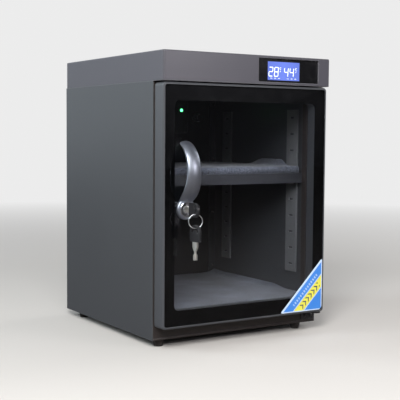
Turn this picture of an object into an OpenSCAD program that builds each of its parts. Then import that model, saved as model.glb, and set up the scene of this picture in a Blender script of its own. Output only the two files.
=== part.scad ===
/* [Cabinet] */
// Overall width across the side panels
cab_w = 280; // [260:5:320]
// Depth from the front of the door to the back panel
cab_d = 306; // [290:2:340]
// Overall height with the feet
cab_h = 400; // [390:5:450]
// Thickness of the steel sheet
sheet_t = 1.2; // [1:0.1:1.4]
// Height of the raised floor over the underside
plinth_h = 32; // [28:1:38]
// Width of the jambs beside the front opening
jamb_w = 19.8; // [18.5:0.1:21]
// Height of the header over the front opening
header_h = 20; // [16:1:24]
// Depth of the return lip round the front opening
lip_d = 10; // [8:0.5:12]
// Width of the rear flanges that carry the back panel
rear_flange_w = 12; // [10:1:16]

/* [Top cap] */
// Height of the cap
cap_h = 40; // [38:1:46]
// Wall of the cap
cap_t = 2.2; // [1.8:0.1:2.6]
// Radius of the upright edges of the cap
cap_edge_r = 3.5; // [2.5:0.5:5]
// Radius of the top edges of the cap
cap_top_r = 1.5; // [1:0.25:2]

/* [Display] */
// Width of the display recess
disp_w = 106; // [100:1:112]
// Height of the display recess
disp_h = 33; // [31:0.5:33.5]
// Distance from the recess to the right side of the cap
disp_right = 21.5; // [18:0.5:26]
// Thickness of the black display panel
panel_t = 1.8; // [1.5:0.1:2.2]
// Width of the screen
lcd_w = 56; // [52:1:58]
// Height of the screen
lcd_h = 25.8; // [24:0.2:27]
// Distance from the left end of the recess to the screen
lcd_left = 17; // [14:0.5:20]
// Distance from the foot of the recess to the screen
lcd_low = 2.9; // [2.5:0.1:4]

/* [Door] */
// Thickness of the door
door_t = 22.3; // [20:0.1:25]
// Gap between the door and the front frame
door_gap = 5.2; // [4.8:0.1:6.5]
// Height of the door's lower edge over the underside
door_lift = 19.4; // [17:0.2:20.6]
// Gap between the door and the cap
door_top_gap = 1.8; // [1.6:0.1:2.4]
// Distance from the door's hinge edge to the side of the cabinet
door_inset = 5; // [4.5:0.5:7]
// Radius of the door's corners
door_corner_r = 5; // [4:0.5:7]
// Rounding of the door's front edge
door_edge_r = 2.6; // [2:0.2:2.8]
// Width of the frame's rim round the glass
rim_w = 3; // [2.8:0.1:3.4]
// Width of the door frame at the sides
stile_w = 19; // [18:0.5:20.5]
// Height of the door frame at the top and the foot
rail_h = 23; // [22:0.5:25]
// Radius of the window's corners
window_r = 7; // [5:0.5:9]
// Thickness of the door glass
glass_t = 4; // [3:0.5:5]
// Depth of the glass behind the rim
glass_inset = 0.5; // [0.4:0.1:0.8]
// Thickness of the inner liner of the door
liner_t = 1.5; // [1.2:0.1:2]
// Width of the gasket
gasket_w = 8; // [6:0.5:8.5]

/* [Hinge] */
// Distance from the door's edge to the pivot
pivot_in = 6; // [5.5:0.1:6.4]
// Radius of the hinge pins
hinge_pin_r = 2; // [1.8:0.1:2.2]
// Length of a hinge pin inside the door
hinge_pin_l = 12; // [9:0.5:14]
// Thickness of the hinge brackets
hinge_t = 2; // [1.6:0.1:2.4]

/* [Handle] */
// Distance from the door's free edge to the handle and the lock
handle_in = 34.5; // [32:0.5:38]
// Distance from the middle of the door down to the lock
lock_drop = 3.9; // [0:0.1:12]
// Height of the bow over the glass at its crest
handle_reach = 27; // [24:0.5:29]
// Half of the bow's length along the glass
handle_half_l = 42.3; // [38:0.1:46]
// Distance from the lock to the lower end of the bow
handle_low = 6.3; // [4:0.1:7]
// Thickness of the bow at its crest
handle_t = 5.4; // [5:0.2:6.6]
// Width of the bow at its upper end
handle_w_top = 19; // [17:0.5:22]
// Width of the bow at its lower end
handle_w_low = 27.6; // [25:0.2:29]
// Crown across the bow
handle_crown = 5; // [3:0.1:5.2]
// Radius of the round foot that holds the lock
boss_r = 14; // [13.6:0.2:15]
// Thickness of the round foot
boss_t = 4.5; // [4:0.25:6]

/* [Lock and keys] */
// Radius of the lock barrel
barrel_r = 9; // [8.6:0.1:9.6]
// Radius of the lock's front flange
bezel_r = 10.6; // [10:0.1:11.4]
// Thickness of the lock's front flange
bezel_t = 1.6; // [1.2:0.1:2]
// Radius of the lock plug
plug_r = 6; // [5.6:0.1:6.6]
// Length of the cam from the lock's axis to its tip
cam_l = 25; // [23:0.5:26]
// Width of the cam
cam_w = 14; // [12:0.5:15]
// Thickness of the cam
cam_t = 2; // [1.6:0.1:2.4]
// Radius of the key's tube
key_tube_r = 3; // [2.8:0.1:3.4]
// Wall of the key's tube
key_wall = 0.8; // [0.6:0.1:1]
// Length of the metal blade in front of the key's head
key_blade_l = 24; // [23:0.5:27]
// Depth of the key in the lock
key_depth = 18; // [17.5:0.25:18.5]
// Length of the key's head
key_head_l = 22.5; // [21:0.5:25]
// Width of the key's head
key_head_w = 19; // [18:0.5:21]
// Thickness of the key's head
key_head_t = 3.5; // [3:0.1:3.8]
// Width of the rim outside the curved slot in the key's head
key_rim = 3.1; // [2.8:0.1:3.3]
// Width of the curved slot in the key's head
key_slot_w = 3.3; // [3.2:0.1:3.6]
// Inside radius of the split ring
ring_in_r = 8.8; // [8.4:0.1:9.6]
// Thickness of the split ring's wire
ring_wire_t = 1; // [0.8:0.05:1.2]

/* [Shelf] */
// Distance from the front plane to the shelf's front lip
shelf_y = 60; // [58:1:70]
// Height of the shelf's front lip
shelf_lip_h = 15; // [12:0.5:18]
// Height of the shelf's side lips
shelf_side_h = 8; // [7:0.5:10]
// Number of the slot that carries the shelf, counted from below
shelf_slot = 5; // [3:1:7]
// Thickness of the foam mat on the floor
mat_t = 8; // [6:0.5:10]
// Thickness of the foam mat on the shelf
shelf_mat_t = 10.5; // [8:0.5:12]
// Distance from the shelf to the back panel
shelf_back_gap = 12; // [10:1:16]

/* [Shelf standards] */
// Width of a shelf standard
std_w = 25; // [22:0.5:28]
// Depth of a shelf standard
std_d = 3; // [2.8:0.1:3.6]
// Distance from the front plane to the middle of the front standards
std_front_y = 84.5; // [82:0.5:95]
// Distance from the back panel to the middle of the rear standards
std_back_in = 40.5; // [36:0.5:46]
// Distance from the ceiling to the standards' upper ends
std_drop = 30.8; // [28:0.4:36]
// Width of a slot
slot_w = 10; // [9:0.5:12]
// Height of a slot
slot_h = 3; // [2.8:0.1:3.6]
// Number of slots in a standard
slot_n = 10; // [8:1:10]
// Height of the standards' lower ends over the mat
std_lift = 29; // [24:1:36]

/* [Dryer] */
// Width of the dryer cover inside
dryer_w = 124; // [118:1:132]
// Height of the dryer cover inside
dryer_h = 56; // [54:1:60]
// Depth of the dryer cover inside
dryer_d = 38; // [36:0.5:44]
// Distance from the ceiling to the dryer cover
dryer_drop = 13; // [10:1:16]
// Side of the cooling element
cell_w = 40; // [36:1:42]
// Thickness of the cooling element
cell_t = 3.8; // [3.4:0.1:4.2]
// Radius of the humidity knob
knob_r = 11; // [9:0.5:12]
// Depth of the humidity knob
knob_l = 11; // [9:0.5:13]
// Width of the vent cover behind
vent_w = 150; // [146:1:160]
// Height of the vent cover behind
vent_h = 84; // [80:1:90]
// Depth of the vent cover behind
vent_d = 24; // [23:0.5:28]
// Number of louvres in the vent cover
louvre_n = 7; // [5:1:8]

/* [Feet] */
// Height of the feet
foot_h = 10; // [9:0.5:13]
// Radius of a foot at the floor
foot_low_r = 6.3; // [5.8:0.1:7]
// Radius of a foot at the underside
foot_top_r = 8.5; // [8:0.1:9.5]
// Distance from the left feet to the side
foot_in_x = 16; // [12:0.5:20]
// Distance from the feet on the hinge side to the side
foot_hinge_in_x = 28; // [24:0.5:32]
// Distance from the front feet to the front frame
foot_in_y = 11.8; // [11:0.1:16]
// Distance from the rear feet to the back panel
foot_back_in = 30; // [24:1:36]

/* [Hidden] */
$fn = 48;

// Shared overrun of every cut
over = 1;
// Clearance between pieces that are pushed together
fit = 0.05;
// Clearance between pieces that slide or turn on each other
run = 0.08;
// Clearance between soft or loose pieces and their seats
rest_gap = 0.2;
// Points in a rounded corner
corner_steps = 5;
// Angle between the facets of a rounded edge
edge_step = 30;

// Planes of the cabinet, with y counted from the front of the door
half_w = cab_w / 2;
in_x = half_w - sheet_t;
body_z0 = foot_h;
body_z1 = cab_h - cap_h;
body_y0 = door_t + door_gap;
rear_y = cab_d - sheet_t;
flange_y = cab_d - 2 * sheet_t;
floor_z = body_z0 + plinth_h;
header_z = body_z1 - header_h;
ceiling_z = body_z1 - sheet_t;
open_x = in_x - jamb_w;
lip_y = body_y0 + lip_d;

// Reach of the keys in front and of the vent cover behind, which centre the part on its origin
plug_y = glass_inset - boss_t - bezel_t + run;
key_reach = key_blade_l - key_depth + key_head_l - plug_y;
front_plane_y = (key_reach - vent_d - cab_d) / 2;

// Display
disp_x1 = half_w - disp_right;
disp_x0 = disp_x1 - disp_w;
disp_z0 = body_z1 + (cap_h - disp_h) / 2;
disp_z1 = disp_z0 + disp_h;
lcd_x0 = disp_x0 + lcd_left;
lcd_z0 = disp_z0 + lcd_low;
lcd_face_y = cap_t + run;
panel_lap = 1;
backlight_t = 4;
board_t = 1.6;
board_margin = 4;
screen_t = 1.4;
solder_h = 2;
header_w = 12;

// Door
door_x0 = -half_w;
door_x1 = half_w - door_inset;
door_z0 = body_z0 + door_lift;
door_z1 = body_z1 - door_top_gap;
frame_y1 = door_t - liner_t;
glass_y0 = glass_inset;
glass_y1 = glass_inset + glass_t;
border_t = 0.2;
border_lap = 0.8;
film_y1 = glass_y1 + border_t;
win_x0 = door_x0 + stile_w;
win_x1 = door_x1 - stile_w;
win_z0 = door_z0 + rail_h;
win_z1 = door_z1 - rail_h;
channel_t = 2;
hinge_block = 14;
gasket_in = 1;
gasket_lip_share = 0.625;
gasket_lip_w = gasket_w * gasket_lip_share;
gasket_base_t = 2;

// Hinge
pivot_x = door_x1 - pivot_in;
pivot_y = door_t / 2;
bush_wall = 1.7;
bush_r = hinge_pin_r + bush_wall;
bush_flange_r = pivot_in - fit;
bush_flange_t = 0.9;
hinge_leaf_w = 15;
hinge_leaf_x0 = pivot_x - hinge_leaf_w;
hinge_nose_r = bush_r + 2 * bush_wall;
hinge_leaf_drop = 12;
upper_leaf_l = 30;
leaf_z1 = door_z0 - bush_flange_t - rest_gap;
leaf_z0 = leaf_z1 - hinge_t;
lower_screw_z = leaf_z0 - hinge_leaf_drop / 2;
upper_leaf_z = body_z1 + cap_t;
upper_screw_y = body_y0 + 2 * cap_t + upper_leaf_l / 2;
screw_r = 1.6;
screw_head_r = 3.2;
screw_head_t = 2;
screw_l = 7;

// Handle, whose outer and inner faces are arcs about two axes
handle_x = door_x0 + handle_in;
lock_z = (door_z0 + door_z1) / 2 - lock_drop;
handle_z = lock_z + handle_low + handle_half_l;
bow_outer_r = (pow(handle_half_l, 2) + pow(handle_reach, 2)) / (2 * handle_reach);
bow_foot_l = 3.3;
bow_corner_r = 6;
bow_steps = 8;
bow_flare = 1.5;
bow_waist_share = 0.66;
bow_inner_half_l = handle_half_l - bow_foot_l;
bow_inner_reach = handle_reach - handle_t;
bow_inner_r = (pow(bow_inner_half_l, 2) + pow(bow_inner_reach, 2)) / (2 * bow_inner_reach);
bow_outer_y = glass_y0 - handle_reach + bow_outer_r;
bow_inner_y = glass_y0 - bow_inner_reach + bow_inner_r;
crown_steps = 6;
boss_y = glass_y0 - boss_t;
boss_chamfer = 1;
stud_r = 2;
stud_head_r = 5;
stud_nut_r = 3.6;
stud_foot_r = 4.5;
stud_in = 7;
handle_stud_z = handle_z + handle_half_l - stud_in;

// Lock
cam_gap = 1.1;
cam_y0 = body_y0 + sheet_t + cam_gap;
cam_y1 = cam_y0 + cam_t;
barrel_y1 = cam_y0 - 5 * run;
lock_nut_t = 4;
lock_nut_wall = 4.5;
lock_nut_r = barrel_r + lock_nut_wall;
tail_r = 4;
tail_end_l = 4;
tail_y1 = cam_y1 + tail_end_l;
cam_nut_t = 3;
cam_nut_wall = 3;
cam_nut_r = tail_r + cam_nut_wall;
strike_d = open_x - abs(handle_x);
strike_margin = 2;
strike_low = sqrt(pow(cam_l, 2) - pow(strike_d, 2)) + strike_margin;
strike_high = cam_w / 2 + strike_margin;

// Keys
key_bore_r = key_tube_r - key_wall;
key_tube_l = 7.2;
key_neck_r = 1.7;
key_plate_t = 3;
key_shoulder_w = 8.3;
key_taper_z = 12;
key_shoulder_z = 17;
key_mouth_r = 4.5;
key_mouth_l = 6;
key_tang_w = 6;
key_tang_l = 6;
key_tang_t = 1.5;
key_corner_r = 2;
key_end_r = key_head_w / 2;
key_slot_r = key_end_r - key_rim;
key_slot_turn = 98;
key_turn_up = 90;
key_steps = 16;
ring_seat_in = 1.5;
key_hole_in = key_end_r - ring_seat_in;
key_tip_y = plug_y + key_depth;
key_hole_y = key_tip_y - key_blade_l - key_head_l + key_hole_in;
ring_play = 1;
ring_top_z = lock_z - key_slot_r + ring_play;
ring_z = ring_top_z - ring_in_r;
spare_play = 1;
spare_top_z = ring_z - ring_in_r + spare_play + key_rim;
spare_tip_z = spare_top_z - key_head_l - key_blade_l;
ring_turn = -20;
ring_lay_share = 0.45;
spare_turn = 11;

// Shelf and standards
std_z0 = floor_z + mat_t + std_lift;
slot_rise = 12;
std_z1 = ceiling_z - std_drop;
slot_pitch = (std_z1 - std_z0 - 2 * slot_rise) / (slot_n - 1);
std_back_y = rear_y - std_back_in;
std_x = in_x - std_d;
slot_z0 = std_z0 + slot_rise;
clip_slot_z = slot_z0 + shelf_slot * slot_pitch;
clip_t = 1.2;
clip_w = 12;
clip_ledge = 5;
clip_rise = 8;
clip_side_gap = 1;
clip_end_gap = 0.5;
clip_tongue_w = slot_w - 2 * clip_side_gap;
clip_tongue_l = std_d - clip_end_gap;
clip_tongue_h = slot_h - sheet_t;
ledge_z = clip_slot_z + clip_rise;
tray_z0 = ledge_z + rest_gap;
tray_z1 = tray_z0 + shelf_side_h;
tray_x = std_x - clip_t - 3 * rest_gap;
tray_lip_gap = 1.3;
tray_lip_x = in_x - tray_lip_gap;
tray_y1 = flange_y - shelf_back_gap;
tray_back_h = 6;
vent_slot_w = 6;
vent_slot_n = 7;
mat_edge_r = 2;
mat_inset = 1.5;

// Dryer
dryer_z1 = ceiling_z - dryer_drop;
dryer_z0 = dryer_z1 - dryer_h;
dryer_y0 = rear_y - dryer_d;
dryer_mid_z = (dryer_z0 + dryer_z1) / 2;
dryer_wall = 2;
dryer_edge_r = 4;
dryer_corner_r = 6;
dryer_slot_n = 6;
dryer_slot_h = 2.6;
dryer_slot_w = 56;
dryer_slot_low = 9;
dryer_slot_pitch = 6.4;
led_r = 2.4;
led_in = 14.5;
led_low = 39;
led_x = dryer_w / 2 - led_in;
led_z = dryer_z0 + led_low;
led_proud = 1.6;
knob_in = 22;
knob_x = -dryer_w / 2 + knob_in;
knob_z = dryer_z0 + dryer_h / 2;
knob_shaft_r = 3;
knob_shaft_l = 9;
knob_grip_n = 12;
knob_grip_r = 1.4;
knob_taper_share = 0.82;
knob_mark_share = 0.7;
control_r = 8;
control_l = 8;
control_tab_l = 12;
cell_z = dryer_mid_z;
cell_y0 = cab_d - sheet_t / 2 - cell_t / 2;
cell_y1 = cell_y0 + cell_t;
cell_play = 0.3;
cold_t = 4;
cold_w = 96;
cold_h = 44;
cold_fin_n = 9;
cold_fin_t = 2;
cold_fin_l = 12;
sink_w = 108;
sink_h = 60;
sink_t = 4;
sink_fin_n = 12;
sink_fin_t = 1.8;
sink_fin_l = 13;
vent_wall = 2.2;
vent_edge_r = 3;
vent_corner_r = 6;
vent_z = cell_z;
louvre_h = 4;
louvre_pitch = 9;
louvre_w = 46;
vent_ear = 7;
sensor_w = 22;
sensor_h = 16;
sensor_d = 9;
sensor_x = -(dryer_w / 2 + in_x - rear_flange_w) / 2;
sensor_slot_n = 3;
jack_x = (vent_w / 2 + in_x - rear_flange_w) / 2;
jack_r = 5.5;
jack_flange_r = 7.5;
jack_flange_t = 1.5;
jack_l = 12;
jack_bore_r = 2.85;
jack_bore_l = 9.5;
jack_pin_r = 1.05;
jack_nut_r = 8.5;
jack_nut_t = 2.5;

// Control board under the cap
board_in = 38.8;
board_x0 = -in_x + board_in;
board_l = 90;
board_w = 60;
board_back = 102.5;
board_y0 = body_y0 + board_back;
board_post_h = 5;
board_post_in = 5;
board_z = body_z1 + board_post_h;
relay_w = 15;
relay_h = 14;
can_n = 3;
can_r = 5;
can_h = 18;

// Feet
foot_sink_r = 4.2;
foot_sink_h = 4;
foot_head_h = 2.4;
pan_flange_h = 12;
hem_r = 1.4;
screw_rows = 4;
screw_rise = 20;

// Label in the lower corner of the glass
label_t = 0.3;
label_w = 74;
label_in = 0.6;
label_corner_r = 6;
label_tip_r = 1.5;
label_turn = 135;

// Points of an arc in a plane
function arc(cx, cy, r, a0, a1, n = corner_steps) =
    [for (i = [0 : n]) [cx + r * cos(a0 + (a1 - a0) * i / n), cy + r * sin(a0 + (a1 - a0) * i / n)]];

// Outline of a rectangle with round corners
function round_rect(x0, x1, y0, y1, r) = concat(
    arc(x1 - r, y0 + r, r, -90, 0),
    arc(x1 - r, y1 - r, r, 0, 90),
    arc(x0 + r, y1 - r, r, 90, 180),
    arc(x0 + r, y0 + r, r, 180, 270)
);

// Block between two corners
module block(x0, x1, y0, y1, z0, z1) {
    translate([x0, y0, z0])
        cube([x1 - x0, y1 - y0, z1 - z0]);
}

// Upright plate with round corners, from y0 to y1
module plate(x0, x1, z0, z1, r, y0, y1) {
    translate([0, y1, 0])
        rotate([90, 0, 0])
            linear_extrude(y1 - y0)
                polygon(round_rect(x0, x1, z0, z1, r));
}

// Upright plate whose edge is rounded on the side that faces out
module soft_form(x0, x1, z0, z1, corner, edge, y_face, y_back) {
    dir = y_back > y_face ? 1 : -1;
    hull() {
        for (a = [0 : edge_step : 90]) {
            inset = edge * (1 - sin(a));
            y = y_face + dir * edge * (1 - cos(a));
            plate(
                x0 + inset, x1 - inset, z0 + inset, z1 - inset,
                corner - inset, min(y, y_back), max(y, y_back)
            );
        }
    }
}

// Round bar along y
module bar_y(x, z, y0, y1, r) {
    translate([x, y0, z])
        rotate([-90, 0, 0])
            cylinder(h = y1 - y0, r = r);
}

// Round bar along z
module bar_z(x, y, z0, z1, r) {
    translate([x, y, z0])
        cylinder(h = z1 - z0, r = r);
}

// Hexagonal nut along y with a round hole
module nut_y(x, z, y0, y1, r, hole_r) {
    difference() {
        translate([x, y0, z])
            rotate([-90, 0, 0])
                cylinder(h = y1 - y0, r = r, $fn = 6);
        bar_y(x, z, y0 - over, y1 + over, hole_r);
    }
}

// Pan head screw along y, with its head on the far side and its shank towards the near side
module screw_y(x, z, y, shank_l) {
    bar_y(x, z, y - shank_l, y, screw_r);
    translate([x, y, z])
        rotate([-90, 0, 0])
            cylinder(h = screw_head_t, r1 = screw_head_r, r2 = screw_head_r / 2);
}

// Puts pieces that are placed from the front plane into the part's own frame
module in_part() {
    translate([0, front_plane_y, 0])
        children();
}

// Puts the same piece on the other side
module side(s) {
    if (s > 0) {
        children();
    } else {
        mirror([1, 0, 0])
            children();
    }
}

// Heights of the screws along the back panel
function back_screw_z(i) = floor_z + screw_rise + (header_z - floor_z - screw_rise) * i / (screw_rows - 1);

module side_sheet() {
    difference() {
        union() {
            block(in_x, half_w, body_y0, cab_d, body_z0, body_z1);
            block(in_x - rear_flange_w, in_x, flange_y, rear_y, body_z0 + sheet_t, ceiling_z);
        }
        for (i = [0 : screw_rows - 1]) {
            bar_y(in_x - rear_flange_w / 2, back_screw_z(i), flange_y - over, cab_d + over, screw_r + fit);
        }
    }
}

module left_side_panel() {
    color("#4b4d50")
        in_part()
            side(-1)
                side_sheet();
}

module right_side_panel() {
    color("#4b4d50")
        in_part()
            side(1)
                side_sheet();
}

module back_panel() {
    color("#3b3c3f")
        in_part()
            difference() {
                block(-in_x, in_x, rear_y, cab_d, body_z0, body_z1);
                for (s = [-1, 1], i = [0 : screw_rows - 1]) {
                    bar_y(
                        s * (in_x - rear_flange_w / 2), back_screw_z(i), rear_y - over,
                        cab_d + over, screw_r + fit
                    );
                }
                cell_window();
                for (x = vent_screw_x(), z = vent_screw_z()) {
                    bar_y(x, z, rear_y - over, cab_d + over, screw_r + fit);
                }
                bar_y(jack_x, vent_z, rear_y - over, cab_d + over, jack_r + fit);
            }
}

// Opening in the back panel for the cooling element
module cell_window() {
    block(
        -cell_w / 2 - cell_play, cell_w / 2 + cell_play,
        rear_y - over, cab_d + over,
        cell_z - cell_w / 2 - cell_play, cell_z + cell_w / 2 + cell_play
    );
}

function vent_screw_x() = [-vent_w / 2 + vent_ear, vent_w / 2 - vent_ear];
function vent_screw_z() = [vent_z - vent_h / 2 + vent_ear, vent_z + vent_h / 2 - vent_ear];

// Places of the feet
function foot_places() = [
    for (x = [-half_w + foot_in_x, half_w - foot_hinge_in_x], y = [body_y0 + foot_in_y, cab_d - foot_back_in])
        [x, y]
];

module bottom_pan() {
    color("#35363a")
        in_part()
            difference() {
                block(-in_x, in_x, body_y0 + sheet_t, rear_y, body_z0, body_z0 + pan_flange_h);
                block(
                    -in_x + sheet_t, in_x - sheet_t,
                    body_y0 - over, flange_y,
                    body_z0 + sheet_t, body_z0 + pan_flange_h + over
                );
                for (s = [-1, 1]) {
                    block(
                        s * in_x - over, s * in_x + over,
                        body_y0, body_y0 + sheet_t + lip_d,
                        body_z0 + sheet_t, body_z0 + pan_flange_h + over
                    );
                    side(s)
                        block(
                            in_x - rear_flange_w - over, in_x + over,
                            flange_y, rear_y + over,
                            body_z0 + sheet_t, body_z0 + pan_flange_h + over
                        );
                }
                for (p = foot_places()) {
                    bar_z(p[0], p[1], body_z0 - over, body_z0 + sheet_t + over, screw_r + fit);
                }
            }
}

module inner_floor() {
    color("#2e2f33")
        in_part()
            difference() {
                block(-in_x, in_x, lip_y, flange_y, floor_z - pan_flange_h, floor_z);
                block(
                    -in_x + sheet_t, in_x - sheet_t,
                    lip_y - over, flange_y + over,
                    floor_z - pan_flange_h - over, floor_z - sheet_t
                );
            }
}

module front_frame() {
    color("#26272b")
        in_part()
            difference() {
                union() {
                    block(-in_x, in_x, body_y0, body_y0 + sheet_t, body_z0, body_z1);
                    block(
                        -open_x - sheet_t, open_x + sheet_t,
                        body_y0, lip_y,
                        floor_z - sheet_t, header_z + sheet_t
                    );
                    translate([-in_x, body_y0 + sheet_t - hem_r, body_z0 + hem_r])
                        rotate([0, 90, 0])
                            cylinder(h = 2 * in_x, r = hem_r);
                }
                block(-open_x, open_x, body_y0 - over, lip_y + over, floor_z, header_z);
                block(
                    -open_x - sheet_t - over, -open_x + over,
                    body_y0 + sheet_t, cam_y1 + cam_gap,
                    lock_z - strike_low, lock_z + strike_high
                );
                for (x = hinge_screw_x()) {
                    bar_y(x, lower_screw_z, body_y0 - over, body_y0 + sheet_t + over, screw_r + fit);
                }
            }
}

module ceiling_pan() {
    color("#2e2f33")
        in_part()
            difference() {
                union() {
                    block(-in_x, in_x, body_y0 + sheet_t, rear_y, ceiling_z, body_z1);
                    block(
                        -in_x + cap_t, in_x - cap_t,
                        cab_d - cap_t - sheet_t, cab_d - cap_t,
                        ceiling_z, body_z1 + pan_flange_h
                    );
                    for (p = board_posts()) {
                        bar_z(p[0], p[1], body_z1 - fit, body_z1 + board_post_h, 2 * screw_r);
                    }
                }
                for (x = cap_screw_x()) {
                    bar_y(x, body_z1 + pan_flange_h / 2, cab_d - 2 * cap_t - over, cab_d, screw_r + fit);
                }
                for (x = hinge_screw_x()) {
                    bar_z(x, upper_screw_y, ceiling_z - over, body_z1 + over, screw_r + fit);
                }
            }
}

function board_posts() = [
    for (x = [board_x0 + board_post_in, board_x0 + board_l - board_post_in],
         y = [board_y0 + board_post_in, board_y0 + board_w - board_post_in]) [x, y]
];

function cap_screw_x() = [-in_x / 2, 0, in_x / 2];

module top_cap() {
    color("#5c5e62")
        in_part()
            difference() {
                cap_shell();
                block(
                    -half_w + cap_t, half_w - cap_t,
                    body_y0 + cap_t, cab_d - cap_t,
                    body_z1 - over, cab_h - cap_t
                );
                block(
                    -half_w + cap_t, half_w - cap_t,
                    cap_t, body_y0 + 2 * cap_t,
                    body_z1 + cap_t, cab_h - cap_t
                );
                block(disp_x0, disp_x1, -over, cap_t + over, disp_z0, disp_z1);
                bar_z(pivot_x, pivot_y, body_z1 - over, body_z1 + cap_t + over, bush_r);
                for (x = cap_screw_x()) {
                    bar_y(x, body_z1 + pan_flange_h / 2, cab_d - cap_t - over, cab_d + over, screw_r + fit);
                }
            }
}

// Outer form of the cap, with round upright edges and a softened top
module cap_shell() {
    hull() {
        for (a = [0 : edge_step : 90]) {
            inset = cap_top_r * (1 - sin(a));
            translate([0, 0, body_z1])
                linear_extrude(cap_h - cap_top_r * (1 - cos(a)))
                    polygon(round_rect(
                        -half_w + inset, half_w - inset,
                        inset, cab_d - inset, cap_edge_r - inset
                    ));
        }
    }
}

module display_panel() {
    color("#0d0d10")
        in_part()
            difference() {
                block(
                    disp_x0 - panel_lap, disp_x1 + panel_lap,
                    cap_t, cap_t + panel_t,
                    disp_z0 - panel_lap, disp_z1 + panel_lap
                );
                block(
                    lcd_x0, lcd_x0 + lcd_w,
                    cap_t - over, cap_t + panel_t + over,
                    lcd_z0, lcd_z0 + lcd_h
                );
            }
}

module lcd_screen() {
    color("#5b7bf0")
        in_part()
            block(
                lcd_x0 + fit, lcd_x0 + lcd_w - fit,
                lcd_face_y, lcd_face_y + screen_t,
                lcd_z0 + fit, lcd_z0 + lcd_h - fit
            );
}

module display_board() {
    board_y = cap_t + panel_t + backlight_t;
    color("#1d6b3a")
        in_part()
            union() {
                block(
                    lcd_x0 + 2 * fit, lcd_x0 + lcd_w - 2 * fit,
                    lcd_face_y + screen_t, cap_t + panel_t + fit,
                    lcd_z0 + 2 * fit, lcd_z0 + lcd_h - 2 * fit
                );
                block(
                    lcd_x0 - panel_lap, lcd_x0 + lcd_w + panel_lap,
                    cap_t + panel_t, board_y,
                    lcd_z0 - panel_lap, lcd_z0 + lcd_h + panel_lap
                );
                block(
                    lcd_x0 - board_margin, lcd_x0 + lcd_w + 2 * board_margin,
                    board_y, board_y + board_t,
                    disp_z0, disp_z1
                );
                block(
                    lcd_x0 + lcd_w - header_w, lcd_x0 + lcd_w,
                    board_y + board_t, board_y + board_t + 2 * solder_h,
                    lcd_z0, lcd_z0 + 2 * board_margin
                );
            }
}

module control_board() {
    color("#1d6b3a")
        in_part()
            union() {
                difference() {
                    block(
                        board_x0, board_x0 + board_l,
                        board_y0, board_y0 + board_w,
                        board_z, board_z + board_t
                    );
                    for (p = board_posts()) {
                        bar_z(p[0], p[1], board_z - over, board_z + board_t + over, screw_r);
                    }
                }
                block(
                    board_x0 + relay_w, board_x0 + 2 * relay_w,
                    board_y0 + relay_w, board_y0 + 2 * relay_w,
                    board_z + board_t, board_z + board_t + relay_h
                );
                for (i = [0 : can_n - 1]) {
                    bar_z(
                        board_x0 + 3 * relay_w + 3 * can_r * i, board_y0 + board_w / 2,
                        board_z + board_t, board_z + board_t + can_h, can_r
                    );
                }
                block(
                    board_x0 + 2 * relay_w, board_x0 + 4 * relay_w,
                    board_y0 + board_w - relay_w / 2, board_y0 + board_w,
                    board_z + board_t, board_z + board_t + relay_h / 2
                );
            }
}

function hinge_screw_x() = [hinge_leaf_x0 + 2 * screw_head_r, pivot_x + screw_head_r / 2];

module upper_hinge_bracket() {
    pin_z0 = door_z1 - hinge_pin_l;
    color("#8b8d90")
        in_part()
            difference() {
                union() {
                    bar_z(pivot_x, pivot_y, pin_z0, upper_leaf_z + hinge_t / 2, hinge_pin_r);
                    bar_z(pivot_x, pivot_y, upper_leaf_z, upper_leaf_z + hinge_t, hinge_nose_r);
                    block(
                        hinge_leaf_x0, pivot_x + hinge_nose_r,
                        pivot_y, upper_screw_y + upper_leaf_l / 3,
                        upper_leaf_z, upper_leaf_z + hinge_t
                    );
                    block(
                        hinge_leaf_x0, pivot_x + hinge_nose_r,
                        body_y0 + 2 * cap_t, upper_screw_y + upper_leaf_l / 3,
                        body_z1, upper_leaf_z + hinge_t / 2
                    );
                }
                for (x = hinge_screw_x()) {
                    bar_z(x, upper_screw_y, body_z1 - over, upper_leaf_z + hinge_t + over, screw_r + fit);
                }
            }
}

module lower_hinge_bracket() {
    color("#2a2b2e")
        in_part()
            difference() {
                union() {
                    bar_z(pivot_x, pivot_y, leaf_z0 + hinge_t / 2, door_z0 + hinge_pin_l, hinge_pin_r);
                    bar_z(pivot_x, pivot_y, leaf_z0, leaf_z1, hinge_nose_r);
                    block(hinge_leaf_x0, pivot_x + hinge_nose_r, pivot_y, body_y0, leaf_z0, leaf_z1);
                    block(
                        hinge_leaf_x0, pivot_x + hinge_nose_r,
                        body_y0 - hinge_t, body_y0,
                        leaf_z0 - hinge_leaf_drop, leaf_z1
                    );
                }
                for (x = hinge_screw_x()) {
                    bar_y(x, lower_screw_z, body_y0 - hinge_t - over, body_y0 + over, screw_r + fit);
                }
            }
}

module hinge_screws() {
    color("#9a9ca0")
        in_part()
            union() {
                for (x = hinge_screw_x()) {
                    translate([x, body_y0 - hinge_t, lower_screw_z])
                        rotate([0, 0, 180])
                            screw_y(0, 0, 0, screw_l);
                    translate([x, upper_screw_y, upper_leaf_z + hinge_t])
                        rotate([90, 0, 0])
                            screw_y(0, 0, 0, screw_l);
                }
            }
}

// Slotted channel that stands on the inside of a side panel
module standard(y) {
    difference() {
        block(std_x, in_x, y - std_w / 2, y + std_w / 2, std_z0, std_z1);
        block(
            std_x + sheet_t, in_x + over,
            y - std_w / 2 + sheet_t, y + std_w / 2 - sheet_t,
            std_z0 - over, std_z1 + over
        );
        for (i = [0 : slot_n - 1]) {
            block(
                std_x - over, std_x + sheet_t + over,
                y - slot_w / 2, y + slot_w / 2,
                slot_z0 + i * slot_pitch - slot_h / 2, slot_z0 + i * slot_pitch + slot_h / 2
            );
        }
    }
}

module left_front_standard() {
    color("#55575b")
        in_part()
            side(-1)
                standard(std_front_y);
}

module left_rear_standard() {
    color("#55575b")
        in_part()
            side(-1)
                standard(std_back_y);
}

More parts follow.
